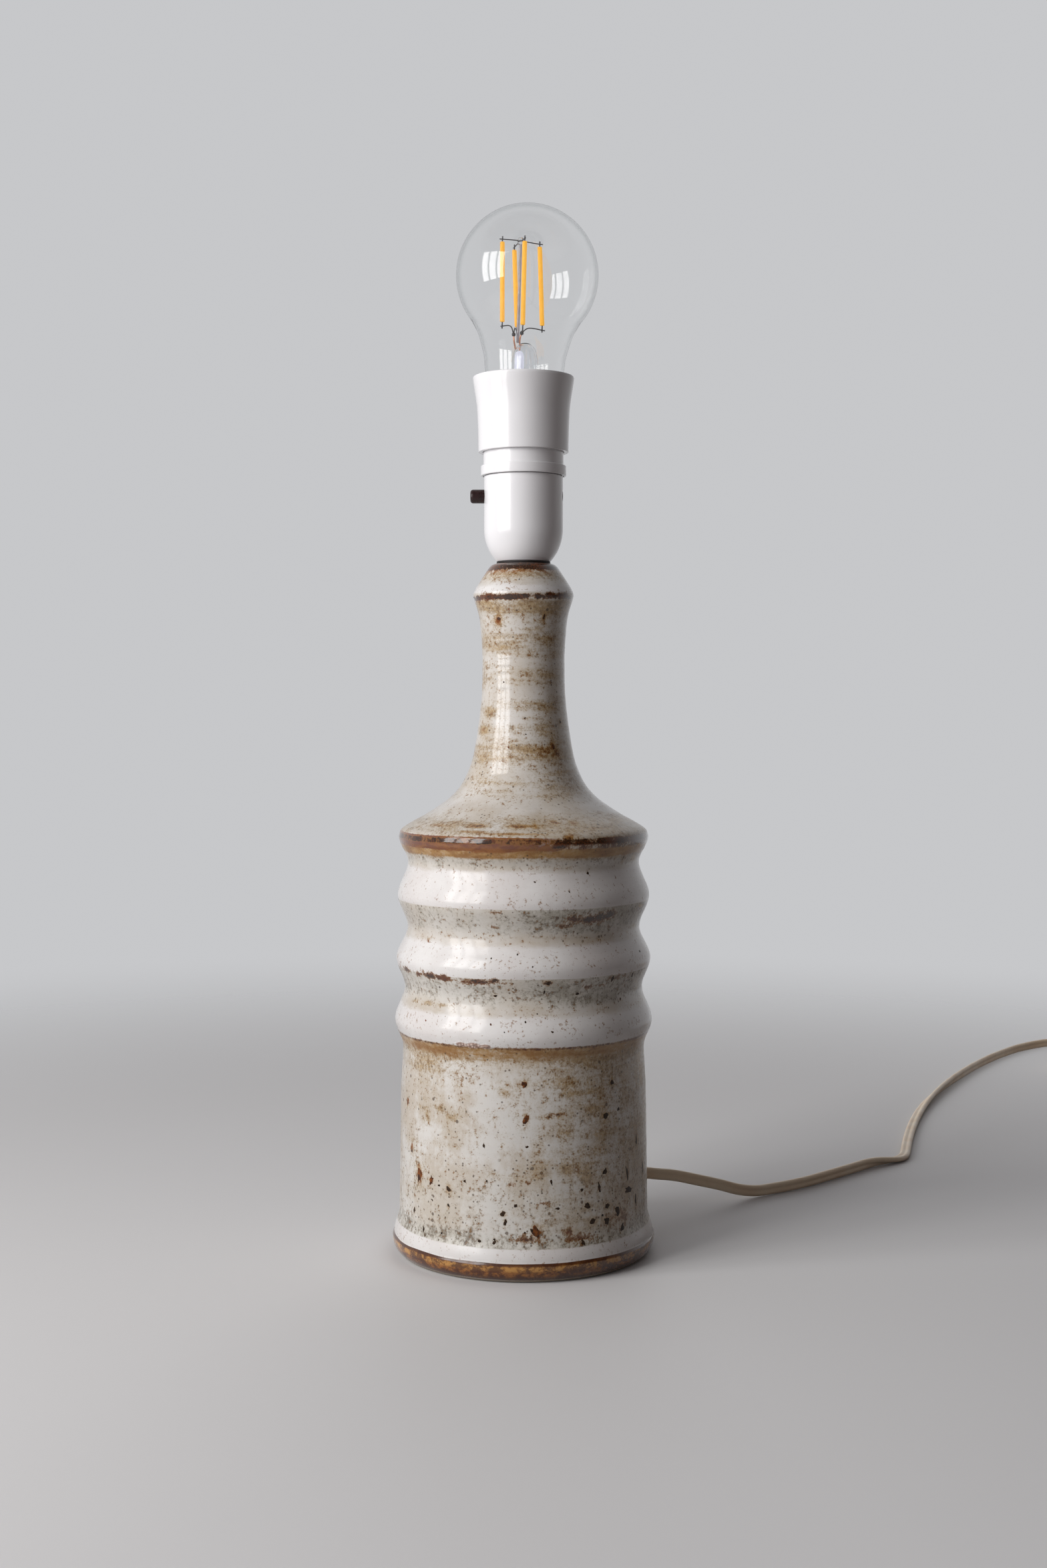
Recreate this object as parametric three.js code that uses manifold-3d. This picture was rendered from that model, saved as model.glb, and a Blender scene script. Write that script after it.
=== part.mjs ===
// A table lamp: a thrown stoneware bottle with three ribs, a bayonet lampholder with a push-bar
// switch, a clear filament bulb, and a flat cord that ends in a three-pin plug.
// Millimetres, +Z up. The origin is on the table under the middle of the foot, the push bar
// points to -X, and the cord leaves at the back right and lies on the table.
import * as THREE from "three";
import { mergeVertices } from "three/addons/utils/BufferGeometryUtils.js";
import Module from "manifold-3d";

const wasm = await Module();
wasm.setup();

// Fits and facets that many pieces share
const fit = 0.25; // between neighbours that touch
const overrun = 2; // how far a cutter passes the faces it cuts
const bodySides = 36;
const glassSides = 28;
const middleSides = 24;
const smallSides = 12;
const wireSides = 6;
const swellSteps = 3; // along each swell of the body's outline

// Stoneware body: radii from the axis, and heights that add up from the table
const contactRadius = 50;
const footRadius = 55;
const footHeight = 8.8; // of the foot's widest line
const drumRadius = 52.2;
const drumBaseRise = 8.7;
const drumTopRadius = 51.5;
const drumLength = 49.5;
const waistRadius = 50.7;
const waistRise = 19;
const ribRadii = [54.05, 53.4, 52.9]; // lowest rib first
const ribRises = [11.1, 11.9, 13.2]; // each from the hollow below it
const valleyRadii = [49.9, 48.8, 48.7];
const valleyRises = [13.8, 13.1, 13.9]; // each from the rib below it
const shoulderRadius = 52.6;
const shoulderRise = 10.8;

// The same, measured down from the lip
const bodyHeight = 288;
const lipRadius = 12.4;
const lipDrop = 13; // from the lip to the collar
const collarRadius = 21.2;
const collarDrop = 29; // from the collar to the neck
const neckRadius = 17.35;
const wallThickness = 5;
const lipThickness = 6.5;

// The curves between shoulder, neck, collar and lip, as shares of the radius and the height
// that lie between them, counted from the lower end
const neckShares = [
  [0.026, 0.034],
  [0.159, 0.079],
  [0.482, 0.174],
  [0.707, 0.268],
  [0.817, 0.358],
  [0.885, 0.452],
  [0.922, 0.545],
  [0.958, 0.662],
  [0.992, 0.817],
];
const collarShares = [
  [0.09, 0.34],
  [0.35, 0.68],
  [0.86, 0.91],
];
const lipShares = [
  [0.1, 0.18],
  [0.34, 0.44],
  [0.7, 0.83],
  [0.88, 0.955],
];
const cavityShares = [0.16, 0.27, 0.38, 0.5, 0.62, 0.8, 1]; // places along the neck curve

// Neck fitting: a hollow threaded tube with its nut and washers
const tubeRadius = 5;
const tubeWall = 1;
const tubeSlack = 0.5; // round the tube in the stoneware
const tubeAboveLip = 10;
const tubeBelowNut = 3;
const seatWasherInset = 1.8; // from the lip
const seatWasherThickness = 0.5;
const clampWasherSlack = 1.35; // from the neck's bore
const clampWasherThickness = 1.2;
const nutAcrossFlats = 14;
const nutHeight = 5;
const nutSides = 6;

// Bulb cap, which sizes the holder round it: heights above its contact pads
const bulbCapRadius = 11;
const bulbCapWall = 0.6;
const bulbCapBase = 3.2;
const bulbCapHeight = 19.6;
const bulbPinRadius = 1;
const bulbPinProud = 2.4;
const bulbPinInside = 1.2; // from the cap's bore inwards
const bulbPinHeight = 8.2;
const bulbTurn = 20; // degrees from locked to free
const pressTravel = 2;
const padRadius = 2.2;
const padThickness = 0.5;
const insulatorHeight = 4.45;

// Lampholder, from the bulb cap outwards: heights add up from its own foot
const sleeveWall = 1.3;
const sleeveHeight = 22.3;
const lockSteps = 4; // facets of each slot's floor
const barrelSlack = 0.65; // round the sleeve
const barrelWall = 1.2; // of the spigot inside the cap
const barrelStep = 0.25; // from the cap's outside to the barrel's
const barrelGrip = 4.5; // of the skirt on the barrel
const holderWall = 2;
const holderFootInset = 5.35; // from the cap's outside
const domeHeight = 14;
const domeSteps = 5;
const holderCapHeight = 36;
const bossWall = 2.75;
const bossHeight = 10;
const lockScrewHeight = 5;
const lockScrewRadius = 1.5;
const shadeRingWall = 0.85;
const shadeRingHeight = 4.3;
const shadeRingEdge = 0.4;
const ringLift = 0.1; // of the ring above the cap's top edge
const skirtLift = 5.7; // of the skirt above the ring
const skirtHeight = 31.8;
const skirtThreadWall = 1.85;
const skirtThreadHeight = 5;
const skirtWall = 1.5;
const skirtFlare = 2.4; // from the skirt's foot to its rim
const skirtEdge = 0.5;
const skirtShares = [
  [0.13, 0.41],
  [0.25, 0.59],
  [0.43, 0.7],
  [0.65, 0.805],
  [0.88, 0.912],
]; // of the flare and of the height

// Push-bar switch
const barRadius = 2.92;
const barHeight = 27.6; // of its axis
const barTravel = 5.6;
const barStickOut = 5.8; // of the left end at rest
const barRounding = 1.6;
const barEdgeShare = 0.3;
const bladeLength = 9;
const bladeWidth = 4;
const bladeThickness = 0.8;

// Spring contacts under the bulb, one each side of the bar, in a block above it
const contactSpacing = 10.8;
const blockHeight = 8.5;
const terminalRadius = 3.3;
const terminalWall = 0.6;
const terminalFloor = 1;
const terminalHeight = 8.3;
const tabThickness = 0.8;
const tabWidth = 4.6;
const tabEdge = 0.7; // past the screw's hole
const terminalScrewRadius = 1;
const terminalScrewWeb = 0.4; // between the screw's hole and the barrel's
const terminalScrewLength = 5;
const screwHeadRadius = 2;
const screwHeadHeight = 1.6;
const plungerSlack = 0.3;
const plungerHeadHeight = 7;
const plungerProud = 4.4; // above the terminal
const plungerStemRadius = 0.9;
const plungerStemLength = 1.9;
const springInset = 0.95; // from the terminal's bore to the middle of the wire
const springWireRadius = 0.2;
const springTurns = 4;
const springStepsPerTurn = 8;
const springSides = 5;

// Bulb glass: heights above the cap's rim, or adding up from there
const glassRadius = 30.1;
const glassNeckRadius = 16.9;
const glassNeckLength = 35.85; // from the cap to the ball
const glassWall = 0.8;
const glassSeatDepth = 5.5; // inside the cap
const glassLean = 1.7; // degrees, to the right, from the cap
const glassArcEnd = 40; // degrees below the ball's widest line where the neck begins
const glassArcSteps = 9;
const glassNeckShares = [
  [1.2, 0.828],
  [1.083, 0.655],
  [1.022, 0.538],
  [1, 0.441],
  [0.955, 0.293],
  [0.83, 0.134],
]; // of the neck's radius and length
const stemRadius = 5.4;
const stemWall = 1;
const stemLift = 0.8; // of its flare above the glass's foot
const stemFlareHeight = 8;
const stemFlareShare = 0.7; // how far the flare has closed at half its height
const stemLength = 30.4;
const stemPressLength = 6.4; // the solid top
const stemRounding = 1;
const exhaustRadius = 1.6;
const exhaustLift = 2.9; // above the board
const frameOffset = -1.85; // the filament frame stands left of the glass's axis
const frameLift = 7.2; // of the filaments above the stem
const rodRadius = 0.6;
const hubRadius = 1.4;
const hubHeight = 2.6;
const filamentRadius = 1;
const filamentLength = 35;
const filamentCircle = 8.3;
const filamentTwist = 12; // degrees
const filamentCount = 4;
const wireRadius = 0.3;
const leadWireRadius = 0.35;
const leadWireSpacing = 6.4;
const boardWidth = 12;
const boardThickness = 1.4;
const boardHeight = 12.6;

// Cord: a flat twin flex that stands on edge
const cordWidth = 5.2;
const cordThickness = 2.7;
const cordLift = 0.15; // above the table
const cordCornerShare = 0.7; // below 1 fills the corners of an ellipse out
const cordSides = 8;
const coilSides = 6;
const cordExitHeight = 19;
const cordExitAngle = 45; // degrees from +X
const bushReach = 70; // from the axis to the outer end of the bush
const bushInside = 10.4; // from the flange inwards
const bushRadius = 4.1;
const bushFlangeRadius = 4.9;
const bushFlangeThickness = 2;
const bushSeatDepth = 0.3; // of the flange in the stoneware
const bushTipRadius = 3.8;
const coreRadius = 0.9;
const coreShares = [
  [0.17, 0],
  [0.29, 0.2],
  [0.8, 0.5],
  [1, 0.8],
  [1, 1],
]; // of the distance from the axis and of the height
const leadSteps = 84;
const tailSteps = 14;
const innerSteps = 22;
const coreSteps = 7;
// Routes: places on the table with the rise above lying on it, or along the exit with the height
const leadRoute = [
  [54.2, 53.9, 15.65],
  [60, 58, 14.2],
  [69, 63, 12.2],
  [79, 67.5, 9.2],
  [90, 72.3, 5.8],
  [99.5, 77.4, 2.3],
  [108, 83, 0.35],
  [117, 89, 0],
  [131, 99, 0],
  [146, 113.5, 0],
  [160, 128, 0],
  [168.5, 137, 0],
  [176, 144, 0],
  [183.4, 149.2, 0],
  [187.4, 152.7, 0],
  [190.4, 157.1, 0],
  [192.4, 162, 0],
  [195.5, 174, 0],
  [199.8, 192, 0],
  [206.3, 217, 0],
  [215, 247, 0],
  [226.5, 281, 0],
  [240, 314, 0],
  [256, 348, 0],
  [273, 381, 0],
  [291, 412.5, 0],
  [309, 440, 0],
  [328.5, 464.5, 0],
  [348.5, 481.5, 0],
  [362, 488.3, 0],
  [375.4, 489.7, 0],
  [388.1, 485.6, 0],
  [397.9, 477.5, 0],
  [404, 467, 0],
  [406, 455, 0],
  [406, 438, 0],
  [406, 419, 0],
  [406, 400, 0],
];
const tailRoute = [
  [405.4, 379, 4.8],
  [402, 366, 3.4],
  [394, 352, 3.2],
  [386.4, 340, 5.4],
  [382.8, 330, 8.3],
  [382, 322, 9.05],
  [382, 316, 9.05],
];
const innerRoute = [
  [56, 19],
  [46, 19],
  [38, 19.3],
  [29, 22.5],
  [18, 32],
  [8, 52],
  [2, 84],
  [0, 120],
  [0, 200],
];
const innerTwistShares = [0.13, 0.35]; // where its width turns, along its length
const coilTurns = 5;
const coilStepsPerTurn = 24;
const coilOuterRadius = 35.3;
const coilPitch = 3.3; // from turn to turn
const coilClimb = 5.8; // from the lower layer to the upper
const coilClimbTurns = 0.5;

// Three-pin plug, lying on its back with the pins up
const plugEntryY = 324;
const plugWidth = 50;
const plugLength = 52;
const plugEntryWidth = 30;
const plugShoulder = 17; // length of the taper towards the cord
const plugCorner = 7;
const plugCoverHeight = 15.5;
const plugBaseHeight = 7;
const plugWall = 2.4;
const plugFloor = 3;
const plugEdge = 1.6; // rounding of the cover's back
const plugCordSlack = 0.8;
const plugEarthFromEnd = 11;
const plugPinRow = 22.23; // from the earth pin to the other two, and between those two
const plugPinWidth = 6.35;
const plugPinThickness = 4;
const plugEarthWidth = 8;
const plugPinLength = 17.7;
const plugEarthLength = 22.7;
const plugScrewRadius = 1.6;
const plugScrewHeadRadius = 3.2;
const plugScrewHeadHeight = 2;
const plugScrewGap = 3.5; // under the screw's end
const fuseRadius = 3.1;
const fuseLength = 25.4;
const fuseSide = 14; // from the plug's middle line
const gripWidth = 16;
const gripDepth = 4;

const degree = Math.PI / 180;
const half = 0.5;
const mix = THREE.MathUtils.lerp;
const sum = (values) => values.reduce((total, value) => total + value, 0);

// Places that several pieces share
const lowerBodyRises = [footHeight, drumBaseRise, drumLength, waistRise];
const shoulderHeight = sum([...lowerBodyRises, ...ribRises, ...valleyRises, shoulderRise]);
const neckBore = neckRadius - wallThickness;
const cavityRadius = Math.min(contactRadius, drumTopRadius, waistRadius, ...valleyRadii) - wallThickness;
const tubeBore = tubeRadius - tubeWall;
const tubeTop = bodyHeight + tubeAboveLip;
const holderBase = bodyHeight + seatWasherThickness + 2 * fit;
const sleeveBore = bulbCapRadius + fit;
const barrelBore = sleeveBore + sleeveWall + barrelSlack;
const barrelPinBore = bulbCapRadius + bulbPinProud + fit;
const capBore = barrelBore + barrelWall + fit;
const holderRadius = capBore + holderWall;
const barrelRadius = holderRadius + barrelStep;
const threadBore = barrelRadius + fit;
const ringBase = holderCapHeight + ringLift;
const skirtBase = ringBase + shadeRingHeight + skirtLift;
const barTop = barHeight + barRadius;
const tabBase = barTop + fit;
const tabTop = tabBase + tabThickness;
const blockBase = tabTop + fit;
const blockTop = blockBase + blockHeight;
const contactY = contactSpacing * half;
const terminalBore = terminalRadius - terminalWall;
const terminalScrewHole = terminalScrewRadius + fit;
const terminalScrewY = contactY + terminalRadius + fit + terminalScrewWeb + terminalScrewHole;
const plungerTop = tabBase + terminalHeight + plungerProud;
const bulbBase = plungerTop + fit;
const pressedPinBottom = bulbBase + bulbPinHeight - bulbPinRadius - pressTravel;
const capTop = bulbCapBase + bulbCapHeight;
const capInner = bulbCapRadius - bulbCapWall;
const insulatorTop = padThickness + fit + insulatorHeight;
const boardTop = insulatorTop + fit + boardHeight;
const glassFootRadius = capInner - fit;
const ballCentre = glassNeckLength + glassRadius * Math.sin(glassArcEnd * degree);
const stemBase = stemLift - glassSeatDepth;
const stemTop = stemBase + stemLength;
const filamentBase = stemTop + frameLift;
const filamentTop = filamentBase + filamentLength;
const lowerWireHeight = filamentBase - fit - wireRadius;
const upperWireHeight = filamentTop + fit + wireRadius;
const lyingHeight = cordLift + cordWidth * half; // of the cord's middle, on edge on the table
const exitTurn = cordExitAngle * degree;
const bushFlangeBase = drumRadius - bushSeatDepth + fit;
const bushBase = bushFlangeBase - bushInside;

// Finishes
function finish(color, roughness, metalness = 0, opacity = 1) {
  const transparent = opacity < 1;
  return new THREE.MeshStandardMaterial({ color, roughness, metalness, opacity, transparent });
}
const stoneware = () => finish(0xb8afa2, 0.2);
const whitePlastic = () => finish(0xece9ea, 0.25);
const brownPlastic = () => finish(0x2c1a18, 0.35);
const blackGlass = () => finish(0x17171a, 0.2);
const blackRubber = () => finish(0x26262a, 0.7);
const steel = () => finish(0xa3a6a8, 0.35, 1);
const brass = () => finish(0xb8964f, 0.3, 1);
const nickel = () => finish(0xc9c9c6, 0.25, 1);
const copper = () => finish(0xb0714a, 0.35, 1);
const clearGlass = () => finish(0xeef2f4, 0.03, 0, 0.3);
const amber = () => finish(0xcf8a2e, 0.5);
const boardGreen = () => finish(0x4f6b48, 0.6);
const flexCream = () => finish(0xc9b7a0, 0.45);
const coreBrown = () => finish(0x5a3622, 0.45);
const coreBlue = () => finish(0x2f5aa0, 0.45);
const bushGrey = () => finish(0xd8cfc2, 0.6);

// Turns an outline of [radius, height] pairs round the vertical axis.
function turned(outline, sides = middleSides) {
  const points = outline.map(([radius, height]) => new THREE.Vector2(radius, height));
  return new THREE.LatheGeometry(points, sides).rotateX(90 * degree);
}

// Closes an outline that doesn't meet the axis, and turns it.
function turnedRing(outline, sides = middleSides) {
  return turned([...outline, outline[0]], sides);
}

function disc(radius, height, sides = smallSides) {
  return turned([[0, 0], [radius, 0], [radius, height], [0, height]], sides);
}

function washer(radius, bore, height, sides = middleSides) {
  return turnedRing([[bore, 0], [radius, 0], [radius, height], [bore, height]], sides);
}

// A round rod between two points.
function rod(from, to, radius, sides = wireSides) {
  const start = new THREE.Vector3(...from);
  const end = new THREE.Vector3(...to);
  const along = end.clone().sub(start);
  const shape = new THREE.CylinderGeometry(radius, radius, along.length(), sides);
  const turn = new THREE.Quaternion();
  turn.setFromUnitVectors(new THREE.Vector3(0, 1, 0), along.normalize());
  const middle = start.add(end).multiplyScalar(half);
  return shape.applyQuaternion(turn).translate(middle.x, middle.y, middle.z);
}

function uprightRod(x, y, bottom, top, radius, sides = smallSides) {
  return rod([x, y, bottom], [x, y, top], radius, sides);
}

// A box by its size, the middle of its foot and the foot's height.
function box(width, depth, height, x, y, z) {
  return new THREE.BoxGeometry(width, depth, height).translate(x, y, z + height * half);
}

function toSolid(geometry) {
  const bare = geometry.clone();
  bare.deleteAttribute("normal");
  bare.deleteAttribute("uv");
  const merged = mergeVertices(bare);
  const vertProperties = merged.attributes.position.array;
  const triVerts = new Uint32Array(merged.index.array);
  return new wasm.Manifold(new wasm.Mesh({ numProp: 3, vertProperties, triVerts }));
}

function toGeometry(solid) {
  const { vertProperties, triVerts } = solid.getMesh();
  const geometry = new THREE.BufferGeometry();
  geometry.setAttribute("position", new THREE.BufferAttribute(vertProperties, 3));
  geometry.setIndex(new THREE.BufferAttribute(triVerts, 1));
  return geometry;
}

function cut(geometry, ...cutters) {
  return toGeometry(cutters.map(toSolid).reduce((left, cutter) => left.subtract(cutter), toSolid(geometry)));
}

function joined(...geometries) {
  return toGeometry(geometries.map(toSolid).reduce((whole, piece) => whole.add(piece)));
}

// A smooth route whose section keeps its width along one direction, as flat flex does.
class FlexRoute extends THREE.CatmullRomCurve3 {
  constructor(places, edge) {
    super(places.map((place) => new THREE.Vector3(...place)), false, "centripetal");
    this.edge = edge;
  }
  computeFrenetFrames(steps) {
    return framesAlong(this, this.edge, steps);
  }
}

// Turns of one radius going up the axis.
class Helix extends THREE.Curve {
  constructor(radius, height, turns) {
    super();
    Object.assign(this, { radius, height, turns });
  }
  getPoint(share, target = new THREE.Vector3()) {
    const angle = share * this.turns * 2 * Math.PI;
    return target.set(this.radius * Math.cos(angle), this.radius * Math.sin(angle), share * this.height);
  }
  computeFrenetFrames(steps) {
    return framesAlong(this, new THREE.Vector3(0, 0, 1), steps);
  }
}

// Flat flex coiled in two layers: inwards on the table, up over half a turn where the spiral
// turns back, and outwards on top. Both ends run straight for one width.
class TwoLayerCoil extends THREE.Curve {
  constructor(centre) {
    super();
    this.centre = new THREE.Vector3(...centre);
    this.arcLengthDivisions = coilTurns * coilStepsPerTurn * 4;
  }
  getPoint(share, target = new THREE.Vector3()) {
    const round = 2 * Math.PI * coilOuterRadius;
    const straightTurns = cordWidth / round;
    const turns = share * (coilTurns + 2 * straightTurns) - straightTurns;
    const wound = THREE.MathUtils.clamp(turns, 0, coilTurns);
    const halfWay = coilTurns * half;
    const radius = coilOuterRadius - coilPitch * (halfWay - Math.abs(wound - halfWay));
    const climbed = THREE.MathUtils.smoothstep((wound - halfWay) / coilClimbTurns + half, 0, 1);
    const angle = -2 * Math.PI * wound;
    const straight = (turns - wound) * round;
    target.set(radius * Math.cos(angle), radius * Math.sin(angle) - straight, coilClimb * climbed);
    return target.add(this.centre);
  }
  computeFrenetFrames(steps) {
    return framesAlong(this, new THREE.Vector3(0, 0, 1), steps);
  }
}

function framesAlong(curve, edge, steps) {
  const frames = { tangents: [], normals: [], binormals: [] };
  for (let i = 0; i <= steps; i++) {
    const tangent = curve.getTangentAt(i / steps);
    const normal = edge.clone().addScaledVector(tangent, -edge.dot(tangent)).normalize();
    frames.tangents.push(tangent);
    frames.normals.push(normal);
    frames.binormals.push(new THREE.Vector3().crossVectors(tangent, normal));
  }
  return frames;
}

// An ellipse with its corners filled out, or a plain circle.
function section(width, thickness, sides, cornerShare = 1) {
  const filled = (value) => Math.sign(value) * Math.abs(value) ** cornerShare;
  const points = [];
  for (let i = 0; i < sides; i++) {
    const angle = (2 * Math.PI * i) / sides;
    const across = filled(Math.cos(angle)) * width * half;
    points.push(new THREE.Vector2(across, filled(Math.sin(angle)) * thickness * half));
  }
  return new THREE.Shape(points);
}

const flexSection = (sides, slack = 0) =>
  section(cordWidth + 2 * slack, cordThickness + 2 * slack, sides, cordCornerShare);
const roundSection = (radius, sides) => section(2 * radius, 2 * radius, sides);

function sweep(curve, shape, steps) {
  return new THREE.ExtrudeGeometry(shape, { steps, extrudePath: curve });
}

// The least distance between surface points of a wound tube that lie over half a turn apart.
function leastSelfGap(geometry, curve, stepsPerTurn, steps) {
  const centres = curve.getSpacedPoints(steps);
  const rings = centres.map(() => []);
  const places = geometry.getAttribute("position");
  for (let i = 0; i < places.count; i++) {
    const point = new THREE.Vector3().fromBufferAttribute(places, i);
    const distances = centres.map((centre) => centre.distanceToSquared(point));
    rings[distances.indexOf(Math.min(...distances))].push(point);
  }
  let least = Infinity;
  rings.forEach((ring, k) => {
    for (const other of rings.slice(k + Math.round(stepsPerTurn * half) + 1)) {
      for (const point of ring) {
        for (const far of other) least = Math.min(least, point.distanceTo(far));
      }
    }
  });
  return least;
}

const lamp = new THREE.Group();

function group(parent, x, y, z) {
  const made = new THREE.Group();
  made.position.set(x, y, z);
  parent.add(made);
  return made;
}

function add(parent, name, geometry, material, x = 0, y = 0, z = 0) {
  const mesh = new THREE.Mesh(geometry, material);
  mesh.name = name;
  mesh.position.set(x, y, z);
  parent.add(mesh);
  return mesh;
}

// Places between two stations, by shares of the radius and the height between them.
function between(start, end, shares) {
  return shares.map(([across, up]) => [mix(start[0], end[0], across), mix(start[1], end[1], up)]);
}

// Eases from one station of an outline to the next, level at both.
function swell(start, end) {
  const places = [];
  for (let i = 1; i <= swellSteps; i++) {
    const share = i / swellSteps;
    const radius = mix(start[0], end[0], THREE.MathUtils.smoothstep(share, 0, 1));
    places.push([radius, mix(start[1], end[1], share)]);
  }
  return places;
}

const shoulder = [shoulderRadius, shoulderHeight];
const collar = [collarRadius, bodyHeight - lipDrop];
const neck = [neckRadius, collar[1] - collarDrop];
const lip = [lipRadius, bodyHeight];

// The foot, the drum and the three ribs, up to the shoulder.
function lowerOutside() {
  const outline = [];
  for (let i = 0; i <= swellSteps; i++) {
    const angle = (90 * degree * i) / swellSteps;
    const radius = contactRadius + (footRadius - contactRadius) * Math.sin(angle);
    outline.push([radius, footHeight * (1 - Math.cos(angle))]);
  }
  const drumBase = footHeight + drumBaseRise;
  outline.push(...swell(outline.at(-1), [drumRadius, drumBase]));
  outline.push([drumTopRadius, drumBase + drumLength]);
  const hollows = [[waistRadius, waistRise]];
  ribRadii.forEach((radius, i) => {
    hollows.push([radius, ribRises[i]], [valleyRadii[i], valleyRises[i]]);
  });
  hollows.push([shoulderRadius, shoulderRise]);
  for (const [radius, rise] of hollows) {
    const last = outline.at(-1);
    outline.push(...swell(last, [radius, last[1] + rise]));
  }
  return outline;
}

function upperOutside() {
  return [
    ...between(shoulder, neck, neckShares),
    neck,
    ...between(neck, collar, collarShares),
    collar,
    ...between(collar, lip, lipShares),
    lip,
  ];
}

// The inside, from the lip down to the open foot: the neck's curve moved in by the wall.
function inside() {
  const places = [shoulder, ...between(shoulder, neck, neckShares), neck];
  const curve = new THREE.SplineCurve(places.map(([radius, height]) => new THREE.Vector2(radius, height)));
  const inset = cavityShares.map((share) => {
    const place = curve.getPoint(share);
    const tangent = curve.getTangent(share);
    return [place.x - tangent.y * wallThickness, place.y + tangent.x * wallThickness];
  });
  const narrowing = inset.filter(([radius]) => radius < cavityRadius && radius > neckBore);
  const lipBottom = bodyHeight - lipThickness;
  return [
    [tubeRadius + tubeSlack, bodyHeight],
    [tubeRadius + tubeSlack, lipBottom],
    [neckBore, lipBottom],
    [neckBore, neck[1]],
    ...narrowing.reverse(),
    [cavityRadius, narrowing.at(-1)[1] - wallThickness],
    [cavityRadius, 0],
  ];
}

function makeBody() {
  const pot = turnedRing([...lowerOutside(), ...upperOutside(), ...inside()], bodySides);
  const past = footRadius + bushFlangeThickness;
  const start = [Math.min(bushBase, cavityRadius) - overrun, 0, cordExitHeight];
  const seat = [bushFlangeBase - fit, 0, cordExitHeight];
  const end = [past, 0, cordExitHeight];
  const hole = rod(start, end, bushRadius + fit, smallSides).rotateZ(exitTurn);
  const spotFace = rod(seat, end, bushFlangeRadius + fit, smallSides).rotateZ(exitTurn);
  add(lamp, "ceramic_body", cut(pot, hole, spotFace), stoneware());
}

function makeNeckFitting() {
  const bore = tubeRadius + fit;
  const washerBase = bodyHeight - lipThickness - fit - clampWasherThickness;
  const nutBase = washerBase - fit - nutHeight;
  const tubeBase = nutBase - tubeBelowNut;
  const tube = washer(tubeRadius, tubeBore, tubeTop - tubeBase);
  add(lamp, "threaded_tube", tube, brass(), 0, 0, tubeBase);
  const seat = washer(lipRadius - seatWasherInset, bore, seatWasherThickness);
  add(lamp, "seat_washer", seat, blackRubber(), 0, 0, bodyHeight + fit);
  const clamp = washer(neckBore - clampWasherSlack, bore, clampWasherThickness);
  add(lamp, "clamp_washer", clamp, steel(), 0, 0, washerBase);
  const nutRadius = (nutAcrossFlats * half) / Math.cos(Math.PI / nutSides);
  const hole = uprightRod(0, 0, -overrun, nutHeight + overrun, bore, middleSides);
  add(lamp, "clamp_nut", cut(disc(nutRadius, nutHeight, nutSides), hole), steel(), 0, 0, nutBase);
}

const holder = group(lamp, 0, 0, holderBase);

// The domed foot of the cap, as an ellipse from its foot radius to its full radius.
function domeOutline(radius, bottom) {
  const footShare = (holderRadius - holderFootInset) / holderRadius;
  const rise = domeHeight / Math.sqrt(1 - footShare ** 2);
  const places = [];
  for (let i = 0; i <= domeSteps; i++) {
    const height = mix(bottom, domeHeight, i / domeSteps);
    places.push([radius * Math.sqrt(1 - ((domeHeight - height) / rise) ** 2), height]);
  }
  return places;
}

function makeHolderCap() {
  const entry = tubeRadius + fit;
  const boss = entry + bossWall;
  const shell = turnedRing([
    [entry, 0],
    ...domeOutline(holderRadius, 0),
    [holderRadius, holderCapHeight],
    [capBore, holderCapHeight],
    ...domeOutline(capBore, holderWall).reverse(),
    [boss, holderWall],
    [boss, bossHeight],
    [entry, bossHeight],
  ]);
  const reach = holderRadius + overrun;
  const barHole = rod([-reach, 0, barHeight], [reach, 0, barHeight], barRadius + fit, smallSides);
  const lockHole = rod([0, 0, lockScrewHeight], [0, reach, lockScrewHeight], lockScrewRadius + fit, smallSides);
  add(holder, "holder_cap", cut(shell, barHole, lockHole), whitePlastic());
  const screwEnd = [0, holderRadius - holderFootInset, lockScrewHeight];
  const screw = rod([0, entry, lockScrewHeight], screwEnd, lockScrewRadius, smallSides);
  add(holder, "entry_lock_screw", screw, steel());
}

function makeHolderBarrel() {
  const shoulderBase = holderCapHeight + fit;
  const top = skirtBase + barrelGrip;
  const barrel = turnedRing([
    [barrelBore, blockBase],
    [barrelBore + barrelWall, blockBase],
    [barrelBore + barrelWall, shoulderBase],
    [barrelRadius, shoulderBase],
    [barrelRadius, top],
    [barrelPinBore, top],
    [barrelPinBore, pressedPinBottom - fit],
    [barrelBore, pressedPinBottom - fit],
  ]);
  add(holder, "holder_barrel", barrel, whitePlastic());
}

function makeShadeRing() {
  const outer = threadBore + shadeRingWall;
  const ring = turnedRing([
    [threadBore, 0],
    [outer - shadeRingEdge, 0],
    [outer, shadeRingEdge],
    [outer, shadeRingHeight - shadeRingEdge],
    [outer - shadeRingEdge, shadeRingHeight],
    [threadBore, shadeRingHeight],
  ]);
  add(holder, "shade_ring", ring, whitePlastic(), 0, 0, ringBase);
}

function makeSkirt() {
  const foot = [threadBore + skirtThreadWall, 0];
  const rim = [foot[0] + skirtFlare, skirtHeight - skirtEdge];
  const flare = between(foot, rim, skirtShares);
  const within = flare.map(([radius, height]) => [radius - skirtWall, height]);
  const skirt = turnedRing([
    [threadBore, 0],
    foot,
    ...flare,
    rim,
    [rim[0] - skirtEdge, skirtHeight],
    [rim[0] - skirtWall, skirtHeight],
    ...within.reverse(),
    [foot[0] - skirtWall, skirtThreadHeight],
    [threadBore, skirtThreadHeight],
  ]);
  add(holder, "holder_skirt", skirt, whitePlastic(), 0, 0, skirtBase);
}

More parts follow.
